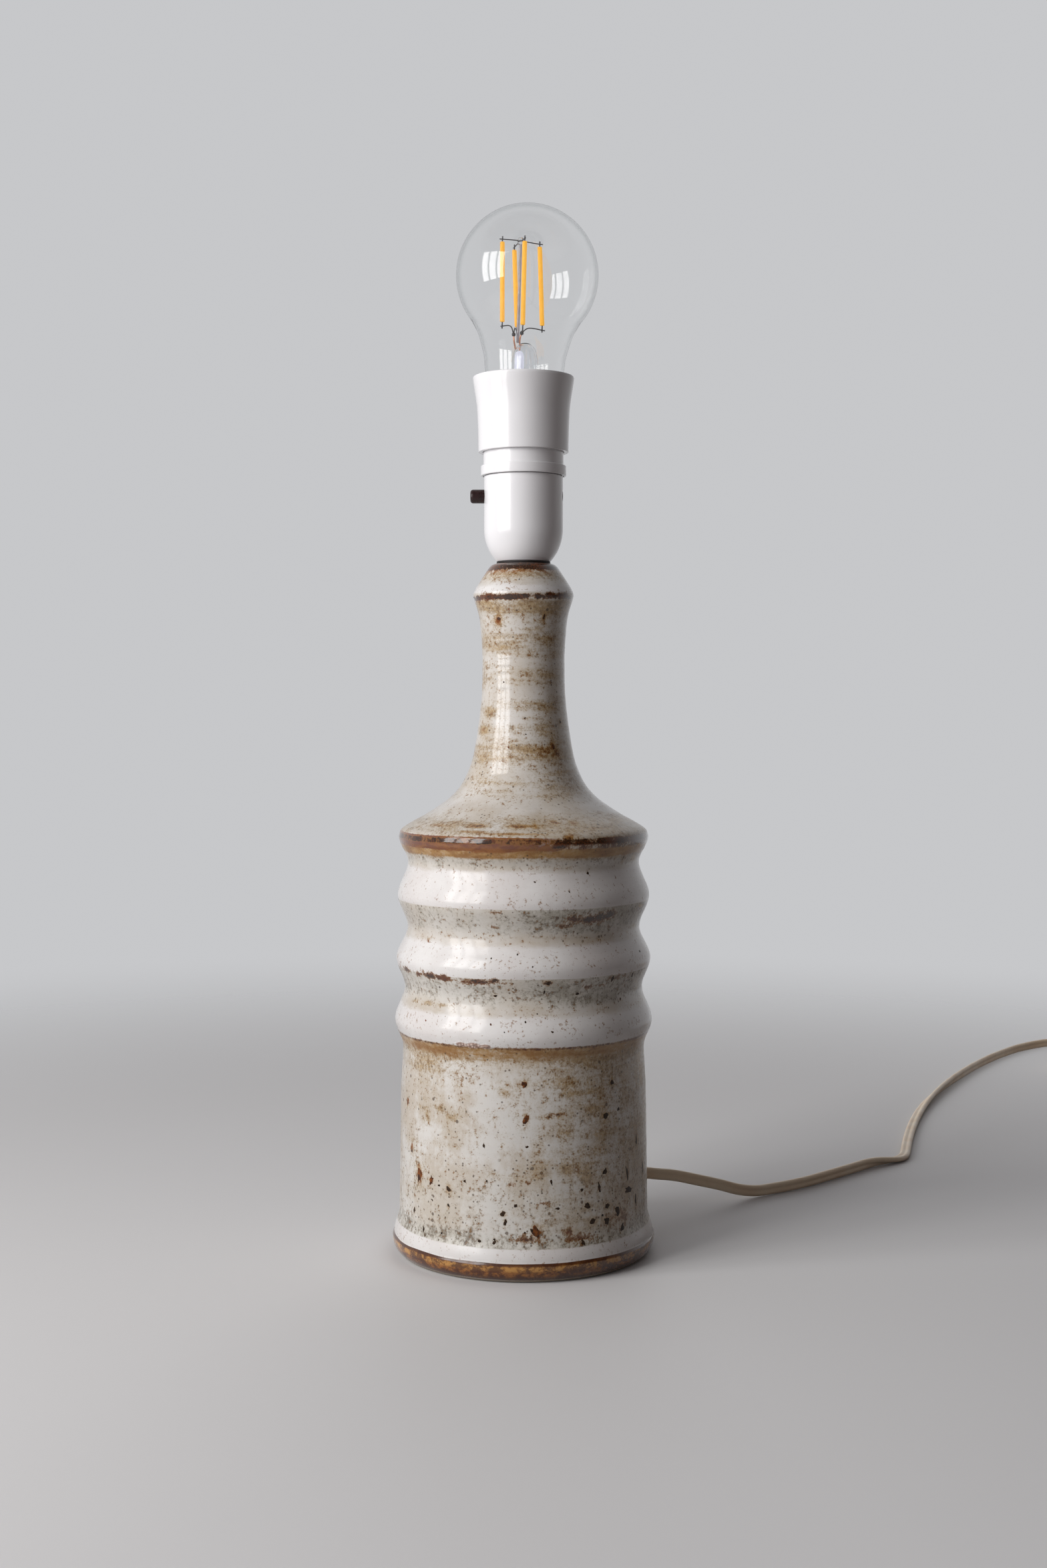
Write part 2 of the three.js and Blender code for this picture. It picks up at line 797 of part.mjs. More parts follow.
function makeContactBlock() {
  const cutters = [];
  for (const side of [-1, 1]) {
    const bottom = blockBase - overrun;
    const top = blockTop + overrun;
    const screwTop = blockBase + terminalScrewLength;
    cutters.push(uprightRod(0, side * contactY, bottom, top, terminalRadius + fit));
    cutters.push(uprightRod(0, side * terminalScrewY, bottom, screwTop, terminalScrewHole));
  }
  const block = disc(barrelBore - fit, blockHeight, middleSides).translate(0, 0, blockBase);
  add(holder, "contact_block", cut(block, ...cutters), whitePlastic());
}

// A tube with an L-shaped slot for each bulb pin: down from the rim, then round to the lock.
function makeBayonetSleeve() {
  const outer = sleeveBore + sleeveWall;
  const base = blockTop + fit;
  const slotWidth = 2 * (bulbPinRadius + fit);
  const slotBottom = bulbBase + bulbPinHeight - pressTravel - slotWidth * half;
  const slot = (height) => box(2 * (outer + overrun), slotWidth, height, 0, 0, slotBottom);
  const cutters = [slot(sleeveHeight).rotateZ(bulbTurn * degree)];
  for (let i = 0; i < lockSteps; i++) {
    cutters.push(slot(pressTravel + slotWidth).rotateZ((bulbTurn * degree * i) / lockSteps));
  }
  const tube = washer(outer, sleeveBore, sleeveHeight).translate(0, 0, base);
  add(holder, "bayonet_sleeve", cut(tube, ...cutters), nickel());
}

function makeSwitch() {
  const length = 2 * holderRadius + barStickOut;
  const shoulderRadius = barRadius - barRounding;
  const edge = barRounding * barEdgeShare;
  const bar = turned([
    [0, 0],
    [shoulderRadius, 0],
    [barRadius - edge, edge],
    [barRadius, barRounding],
    [barRadius, length - barRounding],
    [barRadius - edge, length - edge],
    [shoulderRadius, length],
    [0, length],
  ], smallSides).rotateY(90 * degree);
  add(holder, "switch_bar", bar, brownPlastic(), holderRadius - length, 0, barHeight);
  const bladeBase = barHeight - barRadius - fit - bladeThickness;
  const blade = box(bladeLength, bladeWidth, bladeThickness, -barTravel * half, 0, bladeBase);
  add(holder, "switch_blade", blade, brass());
}

// One terminal with its screw, its plunger and its spring.
function makeContact(name, side) {
  const y = side * contactY;
  const screwY = side * terminalScrewY;
  const terminalTop = tabBase + terminalHeight;
  const floorTop = tabBase + terminalFloor;
  const barrel = turned([
    [0, tabBase],
    [terminalRadius, tabBase],
    [terminalRadius, terminalTop],
    [terminalBore, terminalTop],
    [terminalBore, floorTop],
    [0, floorTop],
  ], smallSides).translate(0, y, 0);
  const tabLength = terminalScrewY + terminalScrewHole + tabEdge - contactY;
  const tabMiddle = side * (contactY + tabLength * half);
  const tab = box(tabWidth, tabLength, tabThickness, 0, tabMiddle, tabBase);
  const tabHole = uprightRod(0, screwY, tabBase - overrun, tabTop + overrun, terminalScrewHole);
  add(holder, "terminal_" + name, joined(barrel, cut(tab, tabHole)), brass());

  const headBase = tabBase - fit - screwHeadHeight;
  const shank = uprightRod(0, screwY, headBase, tabBase + terminalScrewLength, terminalScrewRadius);
  const head = disc(screwHeadRadius, screwHeadHeight).translate(0, screwY, headBase);
  add(holder, "terminal_screw_" + name, joined(shank, head), steel());

  const plungerRadius = terminalBore - plungerSlack;
  const plungerBase = plungerTop - plungerHeadHeight;
  const plunger = turned([
    [0, plungerBase - plungerStemLength],
    [plungerStemRadius, plungerBase - plungerStemLength],
    [plungerStemRadius, plungerBase],
    [plungerRadius, plungerBase],
    [plungerRadius, plungerTop - plungerStemRadius],
    [plungerRadius - plungerStemRadius, plungerTop],
    [0, plungerTop],
  ], smallSides);
  add(holder, "plunger_" + name, plunger, brass(), 0, y, 0);
  makeSpring(name, y, floorTop + fit, plungerBase - fit);
}

function makeSpring(name, y, bottom, top) {
  const start = bottom + springWireRadius;
  const helix = new Helix(terminalBore - springInset, top - springWireRadius - start, springTurns);
  const steps = springTurns * springStepsPerTurn;
  const spring = sweep(helix, roundSection(springWireRadius, springSides), steps);
  const gap = leastSelfGap(spring, helix, springStepsPerTurn, steps);
  console.log(`plunger_spring_${name}: least gap to itself ${gap.toFixed(2)} mm`);
  add(holder, "plunger_spring_" + name, spring, steel(), 0, y, start);
}

// One core of the flex, from the split above the threaded tube to its terminal.
function makeCore(name, side, material) {
  const start = tubeTop + fit - holderBase;
  const end = tabBase - fit;
  const reach = terminalScrewY - screwHeadRadius - fit - coreRadius;
  const places = coreShares.map(([out, up]) => [0, side * reach * out, mix(start, end, up)]);
  const route = new FlexRoute(places, new THREE.Vector3(1, 0, 0));
  add(holder, "core_" + name, sweep(route, roundSection(coreRadius, wireSides), coreSteps), material);
}

// Bulb: the cap stands straight in the holder, and the glass leans a little in it.
const bulb = group(holder, 0, 0, bulbBase);
const glass = group(bulb, 0, 0, capTop);
glass.rotation.y = glassLean * degree;

function makeBulbCap() {
  const shell = washer(bulbCapRadius, capInner, bulbCapHeight).translate(0, 0, bulbCapBase);
  const reach = bulbCapRadius + overrun;
  const pinHole = rod([-reach, 0, bulbPinHeight], [reach, 0, bulbPinHeight], bulbPinRadius + fit, smallSides);
  add(bulb, "bulb_cap", cut(shell, pinHole), nickel());
  for (const [name, side] of [["left", -1], ["right", 1]]) {
    const start = [side * (capInner - bulbPinInside), 0, bulbPinHeight];
    const end = [side * (bulbCapRadius + bulbPinProud), 0, bulbPinHeight];
    add(bulb, "bulb_pin_" + name, rod(start, end, bulbPinRadius, smallSides), nickel());
  }
  const insulator = disc(capInner - fit, insulatorHeight, middleSides);
  add(bulb, "bulb_insulator", insulator, blackGlass(), 0, 0, padThickness + fit);
  for (const [name, side] of [["live", 1], ["neutral", -1]]) {
    add(bulb, "bulb_pad_" + name, disc(padRadius, padThickness), steel(), 0, side * contactY, 0);
  }
  const board = box(boardWidth, boardThickness, boardHeight, 0, 0, insulatorTop + fit);
  add(bulb, "driver_board", board, boardGreen());
}

// From the ball's top to the neck's foot, moved in by an inset.
function glassOutline(inset) {
  const places = [];
  const radius = glassRadius - inset;
  for (let i = 0; i <= glassArcSteps; i++) {
    const angle = mix(90, -glassArcEnd, i / glassArcSteps) * degree;
    places.push([radius * Math.cos(angle), ballCentre + radius * Math.sin(angle)]);
  }
  for (const [across, up] of glassNeckShares) {
    places.push([glassNeckRadius * across - inset, glassNeckLength * up]);
  }
  places.push([glassFootRadius - inset, fit], [glassFootRadius - inset, -glassSeatDepth]);
  return places;
}

function makeGlass() {
  const outside = glassOutline(0).reverse();
  const outline = [...outside, ...glassOutline(glassWall), outside[0]];
  add(glass, "bulb_glass", turned(outline, glassSides), clearGlass());
}

// The stem: a flared tube closed by a solid top, which two wires pass through.
function makeStem() {
  const flare = glassFootRadius - glassWall - fit;
  const bore = stemRadius - stemWall;
  const flareTop = stemBase + stemFlareHeight;
  const flareMiddle = stemBase + stemFlareHeight * half;
  const middleRadius = mix(flare, stemRadius, stemFlareShare);
  const press = stemTop - stemPressLength;
  const shape = turned([
    [0, press],
    [bore, press],
    [bore, flareTop],
    [middleRadius - stemWall, flareMiddle],
    [flare - stemWall, stemBase],
    [flare, stemBase],
    [middleRadius, flareMiddle],
    [stemRadius, flareTop],
    [stemRadius, stemTop - stemRounding],
    [stemRadius - stemRounding, stemTop],
    [0, stemTop],
  ], smallSides);
  const wireX = leadWireSpacing * half;
  const hole = (x) => uprightRod(x, 0, press - overrun, stemTop + overrun, leadWireRadius + fit, wireSides);
  add(glass, "stem_glass", cut(shape, hole(-wireX), hole(wireX)), clearGlass());
  const exhaustBase = boardTop + exhaustLift - capTop;
  const exhaust = disc(exhaustRadius, press - fit - exhaustBase);
  add(glass, "exhaust_tube", exhaust, clearGlass(), 0, 0, exhaustBase);
}

function filamentPlace(index) {
  const angle = (filamentTwist + (360 * index) / filamentCount) * degree;
  return [frameOffset + filamentCircle * Math.cos(angle), filamentCircle * Math.sin(angle)];
}

// Four filaments stand round a glass rod, and wires from the rod's top hold their upper ends.
function makeFilaments() {
  const hubBase = upperWireHeight - hubHeight * half;
  const hub = disc(hubRadius, hubHeight).translate(frameOffset, 0, hubBase);
  const arms = [];
  for (let i = 0; i < filamentCount; i++) {
    const [x, y] = filamentPlace(i);
    add(glass, "filament_" + (i + 1), disc(filamentRadius, filamentLength), amber(), x, y, filamentBase);
    arms.push(rod([frameOffset, 0, upperWireHeight], [x, y, upperWireHeight], wireRadius));
  }
  add(glass, "upper_wires", joined(hub, ...arms), steel());
  const support = uprightRod(frameOffset, 0, stemTop + fit, hubBase - fit, rodRadius);
  add(glass, "support_rod", support, clearGlass());
}

// Each lead wire comes up through the stem and feeds two filaments through a bent wire.
function makeLeads() {
  const start = boardTop + fit - capTop;
  const end = lowerWireHeight - wireRadius - fit;
  for (const [name, side, fed] of [["live", 1, [0, 1]], ["neutral", -1, [2, 3]]]) {
    const x = side * leadWireSpacing * half;
    const lead = uprightRod(x, 0, start, end, leadWireRadius, wireSides);
    add(glass, "lead_wire_" + name, lead, copper());
    const arms = fed.map((index) => {
      const [endX, endY] = filamentPlace(index);
      return rod([x, 0, lowerWireHeight], [endX, endY, lowerWireHeight], wireRadius);
    });
    add(glass, "lower_wire_" + name, joined(...arms), steel());
  }
}

// A place on the line along which the cord leaves the body.
function outFrom(reach, height) {
  return [reach * Math.cos(exitTurn), reach * Math.sin(exitTurn), height];
}

// The grommet in the wall: its slot holds the flex on edge.
function makeBush() {
  const flangeTop = bushInside + bushFlangeThickness;
  const length = bushReach - bushBase;
  const bush = turned([
    [0, 0],
    [bushRadius, 0],
    [bushRadius, bushInside],
    [bushFlangeRadius, bushInside],
    [bushFlangeRadius, flangeTop],
    [bushRadius, flangeTop],
    [bushTipRadius, length],
    [0, length],
  ], smallSides);
  const depth = length + 2 * overrun;
  const slot = new THREE.ExtrudeGeometry(flexSection(smallSides, fit), { depth, bevelEnabled: false });
  // Made along +Z with the slot's width along X, then laid along +X with that width upright.
  const laid = cut(bush, slot.translate(0, 0, -overrun)).rotateY(90 * degree).rotateZ(exitTurn);
  add(lamp, "cord_bush", laid, bushGrey(), ...outFrom(bushBase, cordExitHeight));
}

// From the bush's outer end inwards, then up the hollow body and through the threaded tube.
// The flex bends about its thin side all the way, so its width turns from upright to level.
function makeInnerFlex() {
  const places = [
    outFrom(bushReach - fit * half, cordExitHeight),
    ...innerRoute.map(([reach, height]) => outFrom(reach, height)),
    [0, 0, tubeTop],
  ];
  const edge = new THREE.Vector3(-Math.sin(exitTurn), Math.cos(exitTurn), 0);
  const route = new FlexRoute(places, edge);
  route.computeFrenetFrames = (steps) => {
    const frames = framesAlong(route, edge, steps);
    frames.tangents.forEach((tangent, i) => {
      const upright = 1 - THREE.MathUtils.smoothstep(i / steps, ...innerTwistShares);
      const turn = new THREE.Quaternion().setFromAxisAngle(tangent, -90 * degree * upright);
      frames.normals[i].applyQuaternion(turn);
      frames.binormals[i].applyQuaternion(turn);
    });
    return frames;
  };
  add(lamp, "inner_flex", sweep(route, flexSection(cordSides), innerSteps), flexCream());
}

// The cord outside: a lead that lies on the table, a coil, and a tail that runs into the plug.
function makeCord() {
  const up = new THREE.Vector3(0, 0, 1);
  const lying = ([x, y, rise]) => [x, y, lyingHeight + rise];
  const [endX, endY] = leadRoute.at(-1);
  const centre = [endX - coilOuterRadius, endY - fit - cordWidth, lyingHeight];
  const tailStart = [endX, centre[1] - cordWidth - fit, coilClimb];

  const lead = new FlexRoute([outFrom(bushReach + fit * half, cordExitHeight), ...leadRoute.map(lying)], up);
  add(lamp, "cord_lead", sweep(lead, flexSection(cordSides), leadSteps), flexCream());
  const tail = new FlexRoute([tailStart, ...tailRoute].map(lying), up);
  add(lamp, "cord_tail", sweep(tail, flexSection(cordSides), tailSteps), flexCream());

  const coil = new TwoLayerCoil(centre);
  const coilSteps = coilTurns * coilStepsPerTurn;
  const wound = sweep(coil, flexSection(coilSides), coilSteps);
  add(lamp, "cord_coil", wound, flexCream());
  const gap = leastSelfGap(wound, coil, coilStepsPerTurn, coilSteps);
  console.log(`cord_coil: least gap to itself ${gap.toFixed(2)} mm`);
  const lengths = [lead, coil, tail].map((curve) => curve.getLength());
  console.log(`cord: ${sum(lengths).toFixed(0)} mm outside the body`);
}

// Plug, in its own group: the cord comes in at its +Y end and the pins point up.
const plugCordHeight = cordWidth * half + tailRoute.at(-1)[2];
const plug = group(lamp, tailRoute.at(-1)[0], plugEntryY - plugLength * half, cordLift);

// The plug's outline from above: square corners rounded, and a taper towards the cord.
function plugOutline(inset) {
  const shape = new THREE.Shape();
  const side = plugWidth * half - inset;
  const end = -plugLength * half + inset;
  const front = plugLength * half - inset;
  const entry = plugEntryWidth * half - inset;
  const corner = plugCorner - inset;
  const taper = plugLength * half - plugShoulder;
  shape.moveTo(-side + corner, end);
  shape.lineTo(side - corner, end);
  shape.quadraticCurveTo(side, end, side, end + corner);
  shape.lineTo(side, taper);
  shape.quadraticCurveTo(side, front - corner, entry, front);
  shape.lineTo(-entry, front);
  shape.quadraticCurveTo(-side, front - corner, -side, taper);
  shape.lineTo(-side, end + corner);
  shape.quadraticCurveTo(-side, end, -side + corner, end);
  return shape;
}

function plugSlab(inset, height, bevel = 0) {
  const options = bevel
    ? { depth: height, bevelSize: bevel, bevelThickness: bevel, bevelOffset: -bevel, bevelSegments: 2 }
    : { depth: height, bevelEnabled: false };
  return new THREE.ExtrudeGeometry(plugOutline(inset), { ...options, curveSegments: 4 });
}

const livePinY = plugEarthFromEnd + plugPinRow - plugLength * half;
const plugPins = [
  ["earth", 0, livePinY - plugPinRow, plugEarthLength, plugPinThickness, plugEarthWidth],
  ["live", plugPinRow * half, livePinY, plugPinLength, plugPinWidth, plugPinThickness],
  ["neutral", -plugPinRow * half, livePinY, plugPinLength, plugPinWidth, plugPinThickness],
];
const plugBaseZ = plugCoverHeight + fit;
const plugFaceZ = plugBaseZ + plugBaseHeight;
const fuseTop = plugFloor + fit + 2 * fuseRadius;

// The back half is a shell with a post for the screw; its rounded edges lie on the table.
function makePlugCover() {
  const block = plugSlab(0, plugCoverHeight, plugEdge).translate(0, 0, plugEdge);
  const spare = box(2 * plugWidth, 2 * plugLength, plugCoverHeight, 0, 0, plugCoverHeight);
  const pocket = plugSlab(plugWall, plugCoverHeight).translate(0, 0, plugFloor);
  const post = disc(plugScrewHeadRadius, plugCoverHeight - plugFloor).translate(0, 0, plugFloor - fit);
  const postHole = uprightRod(0, 0, plugFloor, plugCoverHeight, plugScrewRadius + fit);
  const entryBottom = plugCordHeight - cordWidth * half - plugCordSlack;
  const entryWidth = cordThickness + 2 * plugCordSlack;
  const entry = box(entryWidth, plugLength * half, plugCoverHeight, 0, plugLength * half, entryBottom);
  const cover = cut(joined(cut(block, spare, pocket), post), postHole, entry);
  add(plug, "plug_cover", cover, whitePlastic());
}

function makePlugBase() {
  const slots = plugPins.map(([, x, y, , width, depth]) =>
    box(width + 2 * fit, depth + 2 * fit, plugBaseHeight + 2 * overrun, x, y, plugBaseZ - overrun));
  const headSeat = plugFaceZ - plugScrewHeadHeight - fit;
  const head = uprightRod(0, 0, headSeat, plugFaceZ + overrun, plugScrewHeadRadius + fit);
  const shank = uprightRod(0, 0, plugBaseZ - overrun, plugFaceZ, plugScrewRadius + fit);
  const slab = plugSlab(0, plugBaseHeight).translate(0, 0, plugBaseZ);
  add(plug, "plug_base", cut(slab, ...slots, head, shank), whitePlastic());
}

function makePlugFittings() {
  const pinBase = fuseTop + 2 * fit;
  for (const [name, x, y, length, width, depth] of plugPins) {
    const pin = box(width, depth, plugFaceZ + length - pinBase, x, y, pinBase);
    add(plug, "plug_pin_" + name, pin, brass());
  }
  const headBase = plugFaceZ - plugScrewHeadHeight;
  const shank = uprightRod(0, 0, plugFloor + plugScrewGap, headBase + fit, plugScrewRadius);
  const head = disc(plugScrewHeadRadius, plugScrewHeadHeight).translate(0, 0, headBase);
  add(plug, "plug_screw", joined(head, shank), steel());
  const fuseY = livePinY - plugPinRow;
  const fuseZ = plugFloor + fit + fuseRadius;
  const fuse = rod([fuseSide, fuseY, fuseZ], [fuseSide, fuseY + fuseLength, fuseZ], fuseRadius, smallSides);
  add(plug, "plug_fuse", fuse, nickel());
  const gripBase = plugFloor + fit;
  const gripHeight = plugCordHeight - cordWidth * half - fit - gripBase;
  const gripY = plugLength * half - plugWall - fit - gripDepth * half;
  add(plug, "plug_cord_grip", box(gripWidth, gripDepth, gripHeight, 0, gripY, gripBase), whitePlastic());
}

makeBody();
makeNeckFitting();
makeHolderCap();
makeHolderBarrel();
makeShadeRing();
makeSkirt();
makeContactBlock();
makeBayonetSleeve();
makeSwitch();
makeContact("live", 1);
makeContact("neutral", -1);
makeCore("live", 1, coreBrown());
makeCore("neutral", -1, coreBlue());
makeBulbCap();
makeGlass();
makeStem();
makeFilaments();
makeLeads();
makeBush();
makeInnerFlex();
makeCord();
makePlugCover();
makePlugBase();
makePlugFittings();

export default lamp;
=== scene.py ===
# Table lamp: thrown stoneware body, push-bar lampholder, clear filament bulb, flat flex and plug.
# Sizes are in millimetres and are turned into metres where a mesh is made.
import math
import random

import bpy
import numpy as np
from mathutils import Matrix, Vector


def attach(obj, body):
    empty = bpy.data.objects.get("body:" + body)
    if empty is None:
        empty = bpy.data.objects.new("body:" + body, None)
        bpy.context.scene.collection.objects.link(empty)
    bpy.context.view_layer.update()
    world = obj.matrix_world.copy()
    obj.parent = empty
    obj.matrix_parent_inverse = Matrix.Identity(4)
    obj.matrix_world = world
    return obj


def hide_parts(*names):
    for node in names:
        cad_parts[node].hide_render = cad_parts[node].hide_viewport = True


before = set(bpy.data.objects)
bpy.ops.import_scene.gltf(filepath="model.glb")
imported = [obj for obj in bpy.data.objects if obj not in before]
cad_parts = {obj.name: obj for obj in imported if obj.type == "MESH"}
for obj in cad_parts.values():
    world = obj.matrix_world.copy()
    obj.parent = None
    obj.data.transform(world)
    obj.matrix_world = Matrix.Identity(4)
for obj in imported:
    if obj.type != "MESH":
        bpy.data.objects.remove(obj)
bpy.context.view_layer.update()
mm = 0.001
upright = np.array((0.0, 0.0, 1.0))
print("frame loaded")

view = {
    "place": (0.0, -0.822, 0.2281),
    "lens": 44.725,
    "sensor": 36.0,
    "shiftY": -0.04957,
    "nearest": 0.01,
    "farthest": 30,
}


def addObject(name, data):
    made = bpy.data.objects.new(name, data)
    bpy.context.scene.collection.objects.link(made)
    return made


def makeCamera():
    data = bpy.data.cameras.new("camera")
    data.lens = view["lens"]
    data.sensor_width = view["sensor"]
    data.shift_y = view["shiftY"]
    data.clip_start = view["nearest"]
    data.clip_end = view["farthest"]
    camera = addObject("camera", data)
    camera.location = view["place"]
    camera.rotation_euler = (math.radians(90), 0, 0)
    bpy.context.scene.camera = camera


makeCamera()
print("camera ready")


# Meshes

def unit(vector):
    return vector / np.linalg.norm(vector)


def smooth(values, low, high):
    share = np.clip((values - low) / (high - low), 0, 1)
    return share * share * (3 - 2 * share)


def turnAngles(sides):
    return np.linspace(0, 2 * math.pi, sides, endpoint=False)


def makePiece(name, points, faces, finish, sharp=38):
    mesh = bpy.data.meshes.new(name)
    mesh.from_pydata((np.asarray(points, float) * mm).tolist(), [], faces)
    if volumeOf(mesh) < 0:
        mesh.flip_normals()
    mesh.materials.append(finish)
    piece = addObject(name, mesh)
    shade(piece, sharp)
    return piece


# Negative when a mesh is inside out.
def volumeOf(mesh):
    mesh.calc_loop_triangles()
    places = np.empty(3 * len(mesh.vertices))
    corners = np.empty(3 * len(mesh.loop_triangles), dtype=np.int32)
    mesh.vertices.foreach_get("co", places)
    mesh.loop_triangles.foreach_get("vertices", corners)
    a, b, c = places.reshape(-1, 3)[corners.reshape(-1, 3)].transpose(1, 0, 2)
    return float(np.einsum("ij,ij->", a, np.cross(b, c)))


def shade(piece, sharp):
    piece.data.shade_smooth()
    piece.data.set_sharp_from_angle(angle=math.radians(sharp))


# Puts a piece on the body it rides on and hides the CAD nodes it stands for.
def dress(piece, body, slotName, *replaced):
    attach(piece, body)
    if replaced:
        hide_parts(*replaced)
    return piece


# Rounds the corners of an outline. A place is (radius, height) or (radius, height, rounding).
def softened(outline, closed=True, steps=5):
    places = [np.array(place[:2], float) for place in outline]
    made = []
    for i, place in enumerate(outline):
        here = places[i]
        if len(place) < 3 or (not closed and i in (0, len(outline) - 1)):
            made.append(here)
            continue
        before = places[i - 1] - here
        after = places[(i + 1) % len(outline)] - here
        cut = min(place[2], 0.49 * np.linalg.norm(before), 0.49 * np.linalg.norm(after))
        start = here + unit(before) * cut
        end = here + unit(after) * cut
        for share in np.linspace(0, 1, steps + 1):
            made.append((1 - share) ** 2 * start + 2 * share * (1 - share) * here + share ** 2 * end)
    return made


# Centripetal curve through places, with about one point per spacing.
def curveThrough(places, spacing):
    knots = [np.array(place, float) for place in places]
    knots = [2 * knots[0] - knots[1], *knots, 2 * knots[-1] - knots[-2]]
    made = []
    for p0, p1, p2, p3 in zip(knots, knots[1:], knots[2:], knots[3:]):
        d0, d1, d2 = (math.sqrt(np.linalg.norm(b - a)) for a, b in ((p0, p1), (p1, p2), (p2, p3)))
        slope1 = ((p1 - p0) / d0 - (p2 - p0) / (d0 + d1) + (p2 - p1) / d1) * d1
        slope2 = ((p2 - p1) / d1 - (p3 - p1) / (d1 + d2) + (p3 - p2) / d2) * d1
        count = max(2, round(np.linalg.norm(p2 - p1) / spacing))
        for k in range(count):
            t = k / count
            made.append((2 * t ** 3 - 3 * t ** 2 + 1) * p1 + (t ** 3 - 2 * t ** 2 + t) * slope1
                        + (3 * t ** 2 - 2 * t ** 3) * p2 + (t ** 3 - t ** 2) * slope2)
    made.append(knots[-2])
    return np.array(made)


# Joins rows of point numbers, each a ring or a single point on the axis.
def joinRows(rows, closed):
    faces = []
    pairs = list(zip(rows, rows[1:]))
    if closed:
        pairs.append((rows[-1], rows[0]))
    for lower, upper in pairs:
        count = max(len(lower), len(upper))
        for i in range(count if count > 1 else 0):
            j = (i + 1) % count
            if len(lower) == 1:
                faces.append((lower[0], upper[j], upper[i]))
            elif len(upper) == 1:
                faces.append((lower[i], lower[j], upper[0]))
            else:
                faces.append((lower[i], lower[j], upper[j], upper[i]))
    return faces


# Turns an outline of (radius, height) round the upright axis.
def spin(name, outline, finish, sides=128, closed=True, sharp=38, at=(0, 0, 0)):
    angles = turnAngles(sides)
    points = []
    rows = []
    for radius, height in outline:
        start = len(points)
        if radius < 1e-6:
            points.append((0, 0, height))
        else:
            points.extend(zip(radius * np.cos(angles), radius * np.sin(angles), [height] * sides))
        rows.append(list(range(start, len(points))))
    return makePiece(name, np.array(points, float) + at, joinRows(rows, closed), finish, sharp)


# Joins loops of equal length; an open one has both ends closed by a fan.
def loft(name, loops, finish, closed=False, sharp=38):
    count = len(loops[0])
    points = [point for loop in loops for point in loop]
    rows = [list(range(k * count, (k + 1) * count)) for k in range(len(loops))]
    if not closed:
        rows = [[len(points)], *rows, [len(points) + 1]]
        points += [np.mean(loops[0], axis=0), np.mean(loops[-1], axis=0)]
    return makePiece(name, points, joinRows(rows, closed), finish, sharp)


# Carries a section along a path: its first number lies along the edge direction.
def sweepLoops(path, section, edge, turns=None):
    path = np.array(path, float)
    loops = []
    for i, (place, tangent) in enumerate(zip(path, np.gradient(path, axis=0))):
        tangent = unit(tangent)
        across = unit(edge - edge.dot(tangent) * tangent)
        side = np.cross(tangent, across)
        if turns is not None:
            c, s = math.cos(turns[i]), math.sin(turns[i])
            across, side = c * across + s * side, c * side - s * across
        loops.append([place + a * across + b * side for a, b in section])
    return loops


def circle(radius, sides):
    return [(radius * math.cos(a), radius * math.sin(a)) for a in turnAngles(sides)]


def rod(name, start, end, radius, finish, sides=32):
    start, end = np.array(start, float), np.array(end, float)
    edge = upright if abs(unit(end - start)[2]) < 0.9 else np.array((1.0, 0.0, 0.0))
    return loft(name, sweepLoops([start, end], circle(radius, sides), edge), finish)


# Turns an outline of (radius, x) round a level axis at a height.
def levelTurned(name, outline, height, finish, sides, sharp):
    loops = [[(x, y, height + z) for y, z in circle(max(radius, 0.02), sides)] for radius, x in outline]
    return loft(name, loops, finish, sharp=sharp)


# Cuts pieces out of another and keeps the result as a plain mesh.
def carve(piece, cutters, sharp):
    for cutter in cutters:
        change = piece.modifiers.new("cut", "BOOLEAN")
        change.operation = "DIFFERENCE"
        change.solver = "EXACT"
        change.object = cutter
    bpy.context.view_layer.update()
    cut = bpy.data.meshes.new_from_object(piece.evaluated_get(bpy.context.evaluated_depsgraph_get()))
    piece.modifiers.clear()
    cut.name = piece.data.name
    piece.data = cut
    shade(piece, sharp)
    for cutter in cutters:
        bpy.data.objects.remove(cutter)


# Materials. A helper finds its node tree from the first socket that it is given.

# Links sockets and sets plain values.
def setInputs(node, inputs):
    for key, value in inputs.items():
        if isinstance(value, bpy.types.NodeSocket):
            node.id_data.links.new(value, node.inputs[key])
        else:
            node.inputs[key].default_value = value
    return node


def addNode(tree, kind, inputs=None, **settings):
    made = tree.nodes.new("ShaderNode" + kind)
    for key, value in settings.items():
        setattr(made, key, value)
    return setInputs(made, inputs or {})


def newFinish(name):
    finish = bpy.data.materials.new(name)
    finish.use_nodes = True
    tree = finish.node_tree
    return finish, tree.nodes["Principled BSDF"], addNode(tree, "TexCoord").outputs["Object"]


def grain(vector, scale, detail=3, rough=0.5):
    inputs = {"Vector": vector, "Scale": scale, "Detail": detail, "Roughness": rough}
    return addNode(vector.id_data, "TexNoise", inputs).outputs["Fac"]


def cells(vector, scale):
    return addNode(vector.id_data, "TexVoronoi", {"Vector": vector, "Scale": scale}, feature="F1").outputs


def stretched(vector, sizes):
    return addNode(vector.id_data, "Mapping", {"Vector": vector, "Scale": sizes}).outputs["Vector"]


def axesOf(vector):
    return addNode(vector.id_data, "SeparateXYZ", {0: vector}).outputs


def eased(value, low, high, start=0.0, end=1.0):
    inputs = {"Value": value, "From Min": low, "From Max": high, "To Min": start, "To Max": end}
    return addNode(value.id_data, "MapRange", inputs, interpolation_type="SMOOTHSTEP").outputs["Result"]


def maths(operation, made, *others):
    for other in others:
        made = addNode(made.id_data, "Math", {0: made, 1: other}, operation=operation).outputs[0]
    return made


def times(*values):
    return maths("MULTIPLY", *values)


def total(*values):
    return maths("ADD", *values)


